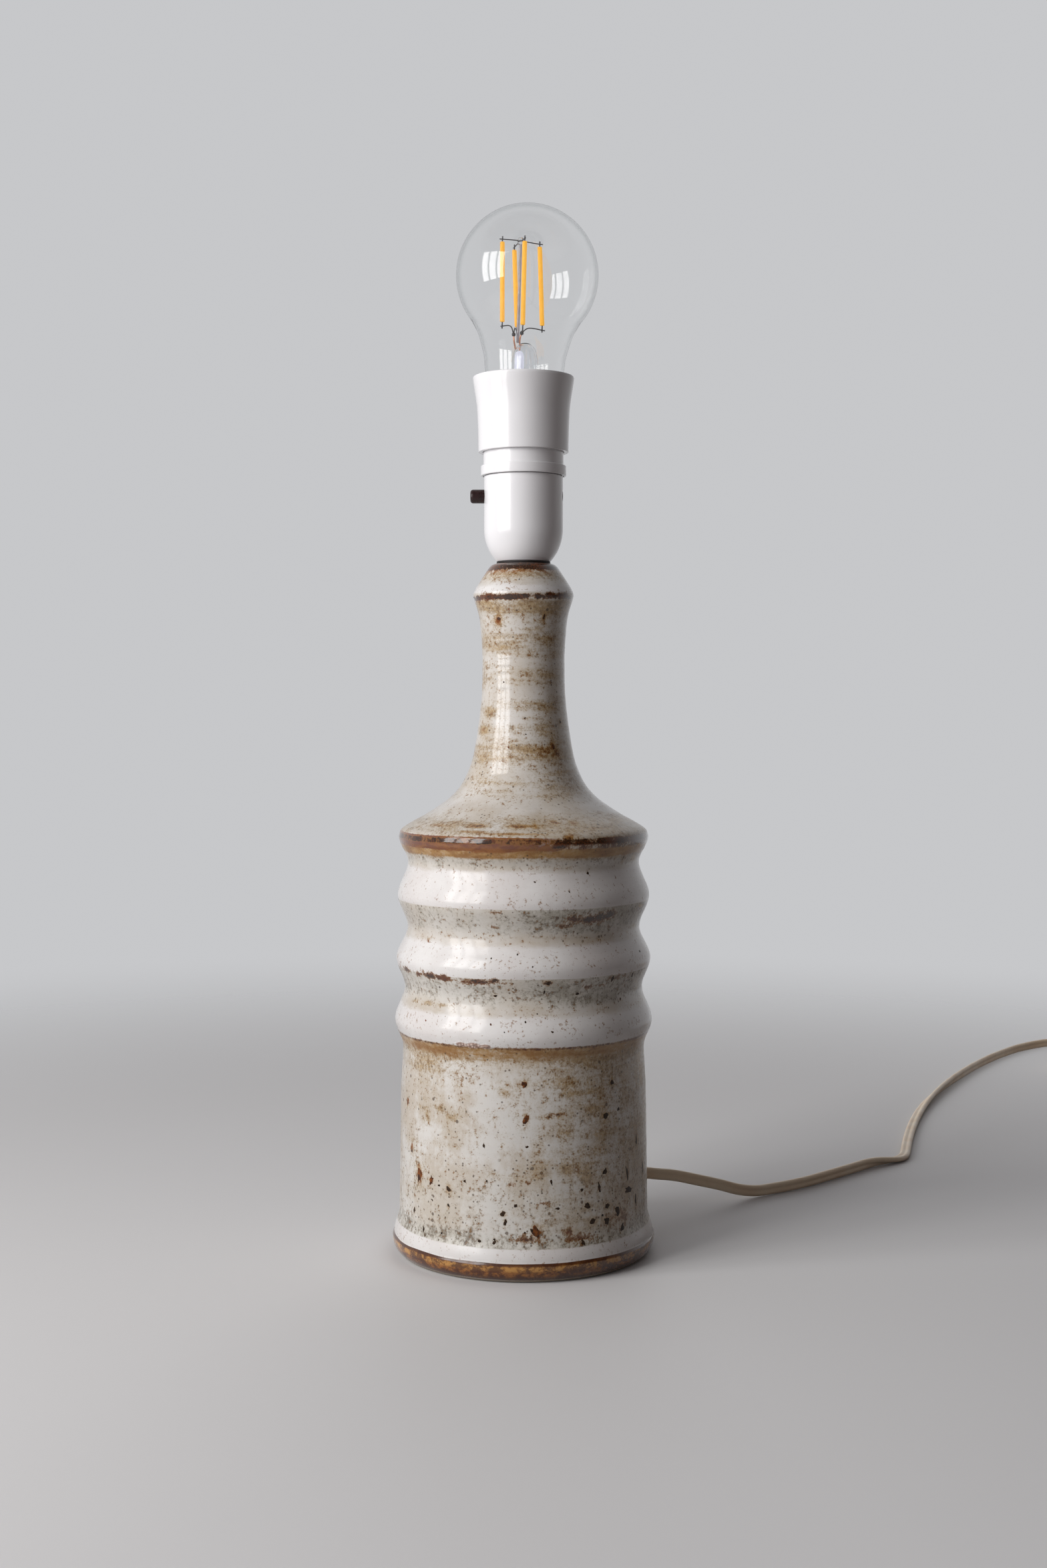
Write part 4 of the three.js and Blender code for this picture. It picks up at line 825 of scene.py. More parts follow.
# Soft stains painted into the glaze, with a strength at the end
stains = {
    "iron": [
        (30.8, 142.9, 3.6, 1.6, 0.95), (36.7, 143.6, 3.2, 1.7, 1), (41.9, 144.5, 3, 1.6, 1),
        (22.9, 143.6, 2.6, 1.5, 0.8), (20.1, 141, 2.6, 1.2, 0.6), (-12.3, 146.5, 3.2, 0.6, 0.45),
        (-13.7, 140.7, 2.1, 0.7, 0.4), (43.8, 139.2, 1, 1, 0.5), (65.4, 145.1, 1.7, 1, 0.6),
        (-65.2, 120, 3, 1, 0.9), (-54.2, 119.4, 1.5, 0.9, 0.9), (-46, 119.4, 3, 1.1, 1),
        (-38.7, 119.2, 3.4, 1.1, 1), (-27.2, 118.2, 1.5, 0.6, 0.8), (-20.1, 118.8, 4.2, 1, 1),
        (-12.3, 119.4, 1.8, 1, 0.8), (-8.6, 118.4, 2.1, 0.5, 0.6), (-4.9, 118.4, 1.4, 0.5, 0.5),
        (10.8, 118.4, 1.5, 1, 0.8), (14.5, 117.6, 2.1, 0.4, 0.3), (30.5, 116.1, 2.8, 0.8, 0.5),
        (38, 116.3, 1.7, 0.6, 0.5), (45, 119, 4, 1, 0.4), (15.4, 172.6, 2.1, 0.9, 1),
        (-43.5, 273.3, 1.8, 1.1, 1), (-64.4, 273.2, 2.6, 0.9, 0.6), (-15, 273.3, 3.8, 0.9, 1),
        (-2.1, 273.4, 2.2, 0.8, 0.8), (17.2, 273.6, 1.6, 0.8, 0.7), (30.9, 274.6, 2.2, 0.9, 0.8),
        (-27.8, 272.8, 1.6, 0.6, 0.8), (44.4, 274.5, 1.6, 0.8, 0.8), (56.2, 274.6, 1.4, 1, 1),
        (40.9, 208.4, 2, 1.5, 0.45), (36.7, 211.5, 1.4, 1.9, 0.5), (22, 209.5, 5, 2.4, 0.35),
        (8.1, 31.5, 2.6, 0.6, 0.5), (-5.2, 39, 1.6, 0.8, 0.5), (2.6, 39.8, 1.4, 0.6, 0.45),
        (11.4, 65.3, 2.8, 0.5, 0.5), (16.1, 66.2, 2.8, 0.6, 0.6), (20.4, 19.1, 1.8, 1.4, 0.6),
        (2, 17.5, 6, 1.6, 0.5), (26, 16.5, 6, 1.8, 0.5), (50, 22, 6, 5, 0.35),
    ],
    "rust": [
        (-60, 172.8, 14, 1.6, 1), (-35, 172, 10, 1.6, 0.9), (-18, 171, 9, 1.4, 0.7), (-8, 170.8, 4, 1.2, 0.7),
        (12, 171, 3, 1, 0.4), (-45, 119.4, 7, 0.9, 0.5), (-20.1, 118.8, 4.4, 0.8, 0.5),
        (-15, 273, 3.2, 0.8, 0.8), (-43.5, 273.2, 1.5, 0.9, 0.5), (-34.6, 263.7, 1.6, 1.9, 0.7),
        (-48.5, 225.5, 2.2, 1.1, 0.5), (-61.5, 218.2, 2.3, 1, 0.45), (-12.2, 219.5, 1.6, 0.8, 0.45),
        (36.7, 211.5, 1.6, 1.9, 0.4), (-18.3, 267.7, 1, 1.4, 0.5), (1.2, 63.5, 1.2, 2.2, 0.4),
        (-54.5, 37, 1.8, 3.2, 0.45), (-45.7, 36.5, 1.4, 1.6, 0.35), (5.5, 20, 2, 2.4, 0.5),
        (0.5, 78, 1.4, 1.4, 0.4), (-67.7, 65, 1.4, 1.8, 0.4), (-61.9, 47, 1.3, 2, 0.35),
        (-6, 85.2, 1.7, 2.2, 0.4),
    ],
    "tan": [
        (-50.1, 107.9, 2.4, 1, 1), (-61.3, 107.7, 2.6, 1, 0.9), (-40.2, 107.7, 3, 0.8, 0.8),
        (-41.9, 106.1, 2, 0.7, 0.6), (-55, 65.3, 4, 1.2, 0.7), (-49, 63, 1.5, 3, 0.7),
        (-41.1, 66.2, 2.2, 1.2, 0.7), (-33.6, 63.7, 3.2, 1.3, 0.7), (-9, 74.8, 2.4, 1.8, 0.6),
        (-50.6, 82.5, 12, 3.6, 0.7), (11.4, 65.3, 3.2, 1.2, 0.5), (16.1, 66.2, 3.2, 1.4, 0.5),
        (32.9, 67, 3.2, 1.6, 0.45), (0.8, 62.9, 1.6, 2.4, 0.6), (20.4, 19.1, 2.2, 1.8, 0.6),
        (18.2, 43.9, 2.8, 1.8, 0.6), (29, 41.4, 2.6, 2.6, 0.6), (6.7, 43.1, 4.2, 3.2, 0.5),
        (-6, 41.4, 3.8, 2.6, 0.45), (17.9, 78.1, 12, 1.6, 0.45), (26, 74.2, 9, 1.2, 0.4),
        (-23.5, 180.2, 3.8, 0.7, 1), (-0.8, 180.2, 4.6, 0.6, 1), (5.7, 180.2, 1, 1, 1),
        (17.1, 181.6, 2, 0.6, 0.9), (27, 181.2, 1.4, 0.6, 0.8), (-23.7, 178, 9, 0.4, 0.6),
        (-4.6, 177.4, 12, 0.4, 0.7), (20.7, 175.8, 1.7, 0.9, 0.9), (-48.1, 179.8, 4.6, 0.5, 0.6),
        (37.4, 178.8, 4, 0.5, 0.5), (-34.6, 262.5, 3, 4, 0.6), (-48.5, 225.5, 3, 1.8, 0.7),
        (-61.5, 218.2, 3.4, 1.6, 0.7), (-12.2, 219.5, 2.4, 1.4, 0.5), (10, 210, 7, 3, 0.4),
    ],
    "ironGap": [(2, 173.6, 9, 2.2, 0.5), (-5, 173.6, 4, 2, 0.4)],
    "crawl": [(-27.9, 93.6, 2.2, 0.9, 1), (-22, 93.5, 3, 1.15, 1), (-16.5, 93.3, 2.2, 0.9, 1)],
}

# Stains for the sides and the back, which the lists leave bare: seed, count, levels with their spread,
# and the ranges of half width, half height and strength
backStains = {
    "tan": (21, 46, [(64, 12), (84, 4), (108, 2), (180, 1.2), (220, 14), (262, 4)],
            (2, 6), (0.7, 2.4), (0.4, 0.8)),
    "rust": (22, 22, [(171.5, 0.6), (119, 0.4), (60, 18), (220, 16), (273.2, 0.5)],
             (1.5, 6), (0.8, 1.6), (0.4, 0.9)),
    "iron": (23, 60, [(142.5, 1.6), (118.8, 0.6), (173.2, 0.5), (273.3, 0.5), (18, 3), (36, 10)],
             (1.4, 4.5), (0.5, 1.2), (0.5, 1.0)),
}

# Bands round the body: strength, lower and upper edge, and how softly each of them ends
glazeBands = {
    # The white band on the collar, 275.2 to 279, is partly white glaze and partly a painted highlight.
    "white": [(1, 147.7, 162, 0.3, 4), (1, 120.2, 132.5, 0.3, 4), (1, 93.2, 104.5, 0.3, 3.5),
              (1, 8.3, 13.5, 0.3, 0.9), (0.7, 275.2, 279, 0.8, 2.4)],
    "grey": [(0.55, 137, 147.7, 3, 0.4), (0.65, 109, 120.2, 3, 0.4), (0.45, 162.5, 167.2, 1.6, 0.8),
             (0.9, 13.2, 19, 0.5, 3), (0.3, 19, 40, 3, 10)],
    "greyRight": [(0.45, 137, 147.7, 3, 0.4), (0.35, 109, 120.2, 3, 0.4), (0.5, 140.5, 146.5, 1.8, 0.5),
                  (0.5, 112.5, 117.5, 1.8, 1.2)],
    "tan": [(0.75, 86.5, 93, 4.5, 0.5), (0.105, 60, 90, 12, 6), (0.07, 14, 60, 4, 12),
            (0.34, 249.5, 259, 3, 3), (0.24, 237.5, 243.5, 2, 2), (0.2, 226, 230.5, 1.8, 1.8),
            (0.22, 217, 221, 1.6, 1.6), (0.36, 204, 213.5, 3, 3), (0.3, 190, 200, 3, 3),
            (0.45, 174.5, 183.5, 0.8, 2), (0.6, 280.5, 285, 1.6, 1), (0.7, 266.5, 272.5, 2, 0.8)],
    "tanShoulder": [(0.6, 166.6, 171.8, 1.1, 0.6)],
    "tanRight": [(0.315, 60, 90, 12, 6), (0.21, 14, 60, 4, 12)],
    "tanDrum": [(0.16, 14, 52, 4, 12)],
    "tanPatchy": [(0.34, 198, 270, 8, 4)],
    "ochre": [(0.4275, 87, 92.9, 3.4, 0.3), (0.4, 280.5, 286, 2, 0.6), (0.45, 118, 120, 0.8, 0.3)],
    "ochreFlecked": [(0.665, 87, 92.9, 3.4, 0.3), (0.45, 269.5, 272.6, 1.2, 0.4),
                     (0.4, 175.6, 178.2, 0.4, 0.8)],
    "ochreShoulder": [(1, 167.4, 171.8, 0.8, 0.6)],
    "rust": [(0.5, 283.2, 286.6, 1.2, 0.6)],
    "rustFlecked": [(0.75, 272, 274.4, 0.6, 0.5)],
    "rustShoulder": [(0.95, 170.9, 176.2, 0.7, 0.5)],
    "iron": [(0.95, 285, 289.5, 0.9, 0.4)],
    "ironShoulder": [(1, 173.4, 175.6, 0.5, 0.5)],
    "ironRight": [(0.6, 171.2, 173.8, 0.6, 0.6)],
    "ironDrum": [(0.5, 92.2, 93.3, 0.35, 0.25)],
    "ironNeck": [(0.62, 272.3, 274.3, 0.7, 0.6)],
    "foot": [(1, 1.35, 8.2, 0.2, 0.2)],
}


def potOutside():
    contact, (footRadius, footHeight) = pot["contactRadius"], pot["foot"]
    places = []
    for angle in np.radians(np.arange(0, 91, 3)):
        radius = contact + (footRadius - contact) * math.sin(angle)
        places.append((radius, footHeight * (1 - math.cos(angle))))
    straight = False
    for stop in pot["hollows"]:
        if stop is not None:
            radius, height = places[-1]
            steps = max(4, round((stop[1] - height) / pot["rowHeight"]))
            for k in range(1, steps + 1):
                share = k / steps
                ease = share if straight else smooth(share, 0, 1)
                places.append((radius + (stop[0] - radius) * ease, height + (stop[1] - height) * share))
        straight = stop is None
    return np.vstack([places, curveThrough(pot["neck"], pot["rowHeight"])[1:]])


potProfile = potOutside()
profileUp = potProfile[np.argsort(potProfile[:, 1])]


# A repeatable wavy line round the pot: the sum of a few sines.
def wave(angles, seed, count=6, lowest=1):
    rng = random.Random(seed)
    made = np.zeros_like(angles)
    for k in range(lowest, lowest + count):
        made += math.sin(rng.uniform(0, 6.28)) * np.sin(k * angles + rng.uniform(0, 6.28)) / math.sqrt(k)
    return made / math.sqrt(count)


def bandsOf(heights, name):
    made = np.zeros_like(heights)
    for strength, low, high, softLow, softHigh in glazeBands[name]:
        above = smooth(heights, low - softLow, low + softLow)
        made += strength * above * (1 - smooth(heights, high - softHigh, high + softHigh))
    return made


def paintSpots(angles, heights, radii, spots):
    made = np.zeros_like(angles)
    for front, height, wide, tall, strength in spots:
        away = (np.degrees(angles) - (front - 90) + 180) % 360 - 180
        across = np.radians(away) * radii / wide
        up = (heights - height) / tall
        made = np.maximum(made, strength * np.exp(-0.7 * (across ** 2 + up ** 2)))
    return made


def scatteredStains(seed, count, levels, widths, talls, strengths):
    rng = random.Random(seed)
    spots = []
    for _ in range(count):
        level, spread = rng.choice(levels)
        spots.append((rng.uniform(82, 278), rng.gauss(level, spread), rng.uniform(*widths),
                      rng.uniform(*talls), rng.uniform(*strengths)))
    return spots


def paintPot(angles, heights, radii):
    def spotted(spots):
        return paintSpots(angles, heights, radii, spots)

    level = heights + 0.35 * wave(angles, 3) + 0.12 * wave(angles, 4, 8, 9)
    rough = heights + 0.9 * wave(angles, 5, 9, 6)
    broken = 0.5 + 0.5 * wave(angles, 6, 16, 5)
    flecks = 0.5 + 0.5 * wave(angles, 14, 22, 14)
    dashes = smooth(flecks, 0.36, 0.6)
    front = (np.degrees(angles) + 270) % 360 - 180
    # rightHand picks out the right-hand side, which gets more tan, grey and iron and less rust, so that side
    # comes out darker.
    rightHand = smooth(front, -12, 40) * (1 - smooth(front, 110, 150))
    back = {name: scatteredStains(*spread) for name, spread in backStains.items()}
    halos = [(place, height, wide * 2.0, tall * 1.9, 0.75) for place, height, wide, tall in
             marks["specks"] + marks["rustSpots"] if wide * tall > 0.3]
    neckFoot = [spot for spot in stains["tan"] if 174 < spot[1] < 184]
    thinDashes = [(place, height, wide, min(tall, 0.45), strength * 0.5)
                  for place, height, wide, tall, strength in neckFoot]

    paint = {"white": np.clip(bandsOf(level, "white"), 0, 1)}
    paint["grey"] = bandsOf(rough, "grey") + rightHand * bandsOf(rough, "greyRight")
    paint["tan"] = (
        bandsOf(rough, "tan") + bandsOf(level, "tanShoulder") + rightHand * bandsOf(rough, "tanRight")
        + bandsOf(rough, "tanPatchy") * (0.6 + 0.5 * wave(angles + heights * 0.09, 17, 6, 2))
        + (0.22 + bandsOf(rough, "tanDrum")) * rightHand * (1 - paint["white"])
        + spotted(stains["tan"] + back["tan"] + halos))
    paint["ochre"] = (
        bandsOf(rough, "ochre") + bandsOf(rough, "ochreFlecked") * flecks
        + bandsOf(rough + 0.9 * wave(angles, 31, 16, 9), "ochreShoulder") * (0.65 + 0.5 * flecks)
        + spotted(halos + neckFoot))
    paint["rust"] = (
        bandsOf(rough, "rust") + bandsOf(rough, "rustFlecked") * flecks
        + bandsOf(level, "rustShoulder") * (1 - 0.75 * rightHand) + spotted(stains["rust"] + back["rust"]))
    paint["iron"] = (
        bandsOf(level, "iron")
        + bandsOf(level, "ironShoulder") * (1 - spotted(stains["ironGap"])) * (0.35 + 0.65 * dashes)
        + bandsOf(level, "ironRight") * rightHand * (0.4 + 0.6 * dashes)
        + bandsOf(level, "ironDrum") * smooth(broken, 0.12, 0.5)
        + bandsOf(rough, "ironNeck") * (0.45 + 0.55 * dashes)
        + spotted(stains["iron"] + back["iron"] + thinDashes))
    paint["foot"] = bandsOf(heights + 0.22 * wave(angles, 8, 9, 7), "foot")
    paint["crawl"] = spotted(stains["crawl"])
    paint["bare"] = 1 - smooth(heights + 0.15 * wave(angles, 9, 9, 5), 1.15, 1.45)
    return {name: np.clip(values, 0, 1) for name, values in paint.items()}


glazeTints = {
    "base": ((0.68, 0.645, 0.605), (0.56, 0.495, 0.42)),
    "drip": (0.72, 0.7, 0.67),
    "tanHaze": (0.49, 0.405, 0.285),
    "tan": ((0.43, 0.285, 0.125), (0.235, 0.14, 0.056)),
    "ochre": ((0.46, 0.255, 0.075), (0.31, 0.14, 0.032)),
    "paleGrey": (0.66, 0.64, 0.59),
    "grey": ((0.4, 0.365, 0.295), (0.125, 0.095, 0.06)),
    "white": ((0.79, 0.77, 0.755), (0.72, 0.683, 0.665)),
    "dots": (0.075, 0.042, 0.02),
    "rust": ((0.155, 0.034, 0.006), (0.27, 0.092, 0.016)),
    "rustyEdge": (0.25, 0.115, 0.03),
    "iron": ((0.028, 0.01, 0.004), (0.125, 0.034, 0.008)),
    "foot": ((0.085, 0.021, 0.004), (0.36, 0.135, 0.024)),
    "footOchre": (0.58, 0.3, 0.075),
    "footEdge": (0.065, 0.02, 0.007),
    "blister": ((0.66, 0.5, 0.43), (0.3, 0.17, 0.12)),
    "clay": (0.5, 0.43, 0.35),
}


# Dots at scattered centres: more of them where density is high.
def dots(place, scale, density, size):
    found = cells(place, scale)
    chosen = eased(maths("SUBTRACT", density, axesOf(found["Color"])[0]), 0.0, 0.06)
    return times(eased(found["Distance"], size, size * 0.6), chosen)


# The foot's brown band: dark at both edges, ochre between
def footColour(place, height, pepper):
    streak = grain(stretched(place, (0.75, 0.75, 1.2)), 240, 6, 0.72)
    colour = mixed(eased(streak, 0.44, 0.62), *glazeTints["foot"])
    ochre = times(eased(height, 0.0045, 0.0058), eased(height, 0.0075, 0.0069),
                  eased(total(streak, swing(pepper, 0.5)), 0.44, 0.6, 0.1, 0.8))
    colour = mixed(ochre, colour, glazeTints["footOchre"])
    edges = maths("MAXIMUM", eased(height, 0.0067, 0.0077), eased(height, 0.0038, 0.002))
    return mixed(times(edges, 0.8), colour, glazeTints["footEdge"])


def makeGlaze():
    finish, shader, place = newFinish("glazed stoneware")
    tree, tint = finish.node_tree, glazeTints
    white, grey, tan, ochre, rust, iron, foot, crawl, bare = (
        addNode(tree, "Attribute", attribute_name=name).outputs["Fac"]
        for name in ("white", "grey", "tan", "ochre", "rust", "iron", "foot", "crawl", "bare"))
    height = axesOf(place)[2]
    drum = eased(height, 0.092, 0.078)
    cloud = grain(place, 38, 4, 0.6)
    clumpBand = grain(stretched(place, (0.55, 0.55, 1.5)), 165, 7, 0.68)
    clumpDrip = grain(stretched(place, (1.15, 1.15, 0.62)), 130, 7, 0.68)
    clump = addNode(tree, "Mix", {0: drum, 2: clumpBand, 3: clumpDrip}, data_type="FLOAT").outputs[0]
    pepper = grain(place, 620, 4, 0.7)
    crumbs = grain(place, 1500, 3, 0.6)
    thrown = grain(stretched(place, (0.09, 0.09, 1.0)), 420, 4, 0.6)
    blister = cells(place, 900.0)["Distance"]

    # white-grey to beige, with paler drips on the lower body
    colour = mixed(eased(cloud, 0.36, 0.64), *tint["base"])
    drip = eased(total(clump, swing(cloud, 0.9), swing(pepper, 0.3)), 0.36, 0.6, 0.7, 0.0)
    colour = mixed(times(drip, drum), colour, tint["drip"])
    # tan stains in clumps of fine grains
    stain = total(times(tan, 0.62), swing(clump, 1.15), swing(pepper, 1.0), swing(crumbs, 0.8),
                  swing(thrown, 0.7))
    tanned = mixed(eased(pepper, 0.42, 0.62), *tint["tan"])
    colour = mixed(eased(stain, -0.06, 0.46, 0, 0.4), colour, tint["tanHaze"])
    colour = mixed(eased(stain, 0.14, 0.68, 0, 0.86), colour, tanned)
    # warm ochre at the edges of the brown bands and round the pits
    warmth = total(times(ochre, 0.85), swing(clump, 0.8), swing(pepper, 0.6))
    warm = mixed(eased(clump, 0.42, 0.6), *tint["ochre"])
    colour = mixed(eased(warmth, 0.26, 0.8, 0, 0.92), colour, warm)
    # olive grey in the hollows and above the foot
    greyLevel = total(times(grey, 0.62), swing(clumpDrip, 1.7), swing(pepper, 1.5))
    greyed = mixed(eased(total(pepper, swing(clump, 0.8)), 0.42, 0.64), *tint["grey"])
    colour = mixed(times(grey, 0.7), colour, tint["paleGrey"])
    colour = mixed(eased(greyLevel, 0.2, 0.8, 0, 0.78), colour, greyed)
    # clean white glaze; the band on the collar is partly white glaze and partly a painted highlight
    clean = eased(total(white, swing(clump, 1.0), swing(pepper, 0.25)), 0.22, 0.68)
    colour = mixed(clean, colour, mixed(eased(cloud, 0.34, 0.66), *tint["white"]))
    # fine iron dots
    density = total(times(grey, 0.13), times(tan, 0.14), times(drum, 0.09),
                    swing(cloud, 0.6), 0.03)
    density = times(density, eased(white, 0.1, 0.6, 1.0, 0.015))
    dotted = maths("MAXIMUM", dots(place, 700, density, 0.36), dots(place, 300, times(density, 0.7), 0.26))
    colour = mixed(times(dotted, 0.75), colour, tint["dots"])
    # rust, then iron with a rusty edge
    rustLevel = total(rust, swing(pepper, 0.9), swing(clump, 0.7))
    rusty = mixed(eased(clump, 0.4, 0.6), *tint["rust"])
    colour = mixed(eased(rustLevel, 0.3, 0.72, 0, 0.95), colour, rusty)
    ironLevel = total(iron, swing(pepper, 1.9), swing(clump, 0.8), swing(crumbs, 0.5))
    irony = mixed(eased(total(clump, swing(crumbs, 0.8)), 0.42, 0.6), *tint["iron"])
    colour = mixed(eased(ironLevel, 0.14, 0.42, 0, 0.8), colour, tint["rustyEdge"])
    colour = mixed(eased(ironLevel, 0.36, 0.66, 0, 0.96), colour, irony)
    # the foot, the crawled patch and the bare clay
    colour = mixed(eased(foot, 0.35, 0.6), colour, footColour(place, height, pepper))
    crawled = mixed(eased(blister, 0.25, 0.6), *tint["blister"])
    colour = mixed(eased(crawl, 0.35, 0.6, 0, 0.85), colour, crawled)
    colour = mixed(bare, colour, tint["clay"])

    dark = maths("MINIMUM", total(rust, iron, foot), 1.0)
    gloss = total(eased(clump, 0.35, 0.7, 0.26, 0.36), times(tan, 0.08), times(bare, 0.6),
                  times(drum, 0.07), times(dark, -0.12))
    coat = total(eased(height, 0.18, 0.2, 0.64, 0.86), times(dark, 0.3), times(bare, -0.9))
    sheen = total(eased(cloud, 0.3, 0.7, 0.09, 0.13), times(drum, 0.09), times(dark, -0.05),
                  times(white, 0.02))
    relief = total(times(grain(place, 85), 0.22), times(clump, 0.05), times(blister, crawl, 0.9))
    setInputs(shader, {
        "Base Color": colour,
        "Roughness": gloss,
        "IOR": 1.5,
        "Specular IOR Level": 0.2,
        "Coat Weight": maths("MINIMUM", maths("MAXIMUM", coat, 0.0), 1.0),
        "Coat Roughness": sheen,
        "Coat IOR": 1.55,
        "Coat Normal": bumpOf(shader, relief, 0.5),
    })
    return finish


def makePot():
    glaze = makeGlaze()
    sides = pot["sides"]
    outline = np.vstack([potProfile, softened([(*place, 0.5) for place in pot["inside"]], closed=False)])
    grid, heights = np.meshgrid(np.linspace(-math.pi, math.pi, sides, endpoint=False), outline[:, 1])
    radii = np.repeat(outline[:, :1], sides, axis=1)
    # throwing rings and a slow wobble, which leave the foot, the top and the inside true
    outside = np.arange(len(outline)) < len(potProfile)
    shown = outside[:, None] * smooth(heights, 6, 16) * (1 - smooth(heights, 280, 287))
    rings = (np.sin(heights * 1.9 + 1.5 * np.sin(heights * 0.23)) * 0.5
             + np.sin(heights * 0.83 + 2.0 * np.sin(grid + heights * 0.05)) * 0.8)
    wobble = wave(grid, 11, 4) * np.sin(heights * 0.045 + 1.1) + 0.4 * wave(grid + heights * 0.02, 12, 5, 3)
    radii = radii + shown * (pot["throwingDepth"] * rings + pot["wobble"] * wobble)
    points = np.stack([radii * np.cos(grid), radii * np.sin(grid), heights], axis=2).reshape(-1, 3)
    rows = [list(range(k * sides, (k + 1) * sides)) for k in range(len(outline))]
    piece = makePiece("stoneware_body", points, joinRows(rows, True), glaze, 45)
    for name, values in paintPot(grid.ravel(), heights.ravel(), radii.ravel()).items():
        values = np.where(np.repeat(outside, sides), values, 1.0 if name == "bare" else 0.0)
        piece.data.attributes.new(name, "FLOAT", "POINT").data.foreach_set("value", values.astype(np.float32))
    cutters = []
    for start, end, radius in (pot["cordHole"], pot["bushSeat"]):
        ends = (outFrom(reach, cord["exitHeight"]) for reach in (start, end))
        cutters.append(rod("cutter", *ends, radius, glaze))
    carve(piece, cutters, 45)
    dress(piece, "base", "glazed_stoneware", "ceramic_body")


# Iron specks: small flat lenses set into the glaze, each with its own ragged edge
speck = {
    "corners": 13,
    "raggedness": 0.3,
    "lean": 0.3,
    # share of the size and rise on the glaze
    "rings": [(0.35, 0.055), (0.75, 0.035), (1.0, -0.05), (0.6, -0.14)],
    "middles": (0.065, -0.15),
    "growsBelow": 92,
    "growth": 1.55,   # the pits of the lower body are the largest
    # on the back: height, spread and how often
    "levels": [(158, 4, 1), (130, 4, 1), (101, 4, 1), (165, 2, 1), (142, 3, 2), (115, 3, 2), (84, 6, 1),
               (60, 12, 3), (34, 9, 4), (20, 4, 4), (230, 20, 2), (190, 6, 1), (265, 5, 1)],
    "sizes": (0.24, 0.28, 0.34, 0.42, 0.55, 0.8),
    "heights": (14.5, 280),
}


def makeSpecks(name, spots, finish, seed):
    rng = random.Random(seed)
    corners, ragged = speck["corners"], speck["raggedness"]
    points = []
    faces = []
    for front, height, wide, tall in spots:
        if height < speck["growsBelow"]:
            wide, tall = wide * speck["growth"], tall * speck["growth"]
        lumps = [rng.uniform(1 - ragged, 1 + ragged) for _ in range(corners)]
        lean = rng.uniform(-speck["lean"], speck["lean"])
        rings = []
        for share, rise in speck["rings"]:
            rings.append(list(range(len(points), len(points) + corners)))
            for lump, (c, s) in zip(lumps, circle(share, corners)):
                up = tall * lump * s
                points.append(onPot(front, height, wide * lump * c + lean * up, up, rise))
        points += [onPot(front, height, 0, 0, rise) for rise in speck["middles"]]
        faces += joinRows([[len(points) - 2], *rings, [len(points) - 1]], False)
    dress(makePiece(name, points, faces, finish, 60), "base", "glazed_stoneware")


def onPot(front, height, across, up, rise):
    radius = np.interp(height + up, profileUp[:, 1], profileUp[:, 0])
    angle = math.radians(front - 90) + across / radius
    return ((radius + rise) * math.cos(angle), (radius + rise) * math.sin(angle), height + up)


def scatterSpecks(seed, count):
    rng = random.Random(seed)
    weights = [often for _, _, often in speck["levels"]]
    spots = []
    for _ in range(count):
        level, spread, _ = rng.choices(speck["levels"], weights)[0]
        height = float(np.clip(rng.gauss(level, spread), *speck["heights"]))
        size = rng.choice(speck["sizes"])
        tall = size * (rng.uniform(1.0, 2.4) if height < 90 else rng.uniform(0.8, 1.3))
        spots.append((rng.uniform(76, 284), height, size, tall))
    return spots


makePot()
ironSpeck = plainFinish("iron speck", (0.022, 0.013, 0.008), (0.06, 0.032, 0.015), (0.32, 0.5), scale=900,
                        ior=1.3)
rustSpeck = plainFinish("rust speck", (0.045, 0.016, 0.006), (0.22, 0.068, 0.014), (0.28, 0.45), scale=620,
                        ior=1.35)
makeSpecks("iron_specks", marks["specks"], ironSpeck, 31)
makeSpecks("rust_specks", marks["rustSpots"], rustSpeck, 32)
makeSpecks("iron_specks_back", scatterSpecks(33, 120), ironSpeck, 34)
makeSpecks("rust_specks_back", scatterSpecks(35, 20), rustSpeck, 36)
print("stoneware body ready")

# Lampholder: outlines as (radius, height from the table, rounding)
holder = {
    "sides": 144,
    "capRadius": 16.65,
    "capBore": 14.65,
    "capBase": 289.0,
    "capTop": 325.0,
    "footRadius": 11.3,
    "domeHeight": 14,
    "domeSteps": 26,
    "neckBore": 5.25,
    "collar": (8, 291, 299),   # radius, foot and top
    "barHeight": 316.6,
    "barHole": 3.17,
    "lockHeight": 294,
    "lockHole": 1.75,
    "barrel": [(13.2, 320.8), (14.4, 320.8), (14.4, 325.25), (16.9, 325.25, 0.2), (16.9, 339.6, 0.2),
               (13.65, 339.6, 0.2), (13.65, 337.4), (13.2, 337.4)],
    "ring": [(17.15, 325.1, 0.15), (18.0, 325.1, 0.45), (18.0, 329.4, 0.5), (17.15, 329.4, 0.25)],
}


def turnedPart(name, outline, finish, body, slotName, node, sides=holder["sides"], sharp=32):
    return dress(spin(name, softened(outline), finish, sides, sharp=sharp), body, slotName, node)


def domeRun(radius, bottom):
    tall = holder["domeHeight"]
    rise = tall / math.sqrt(1 - (holder["footRadius"] / holder["capRadius"]) ** 2)
    heights = np.linspace(bottom, tall, holder["domeSteps"] + 1)
    return [(radius * math.sqrt(1 - ((tall - height) / rise) ** 2), holder["capBase"] + height)
            for height in heights]


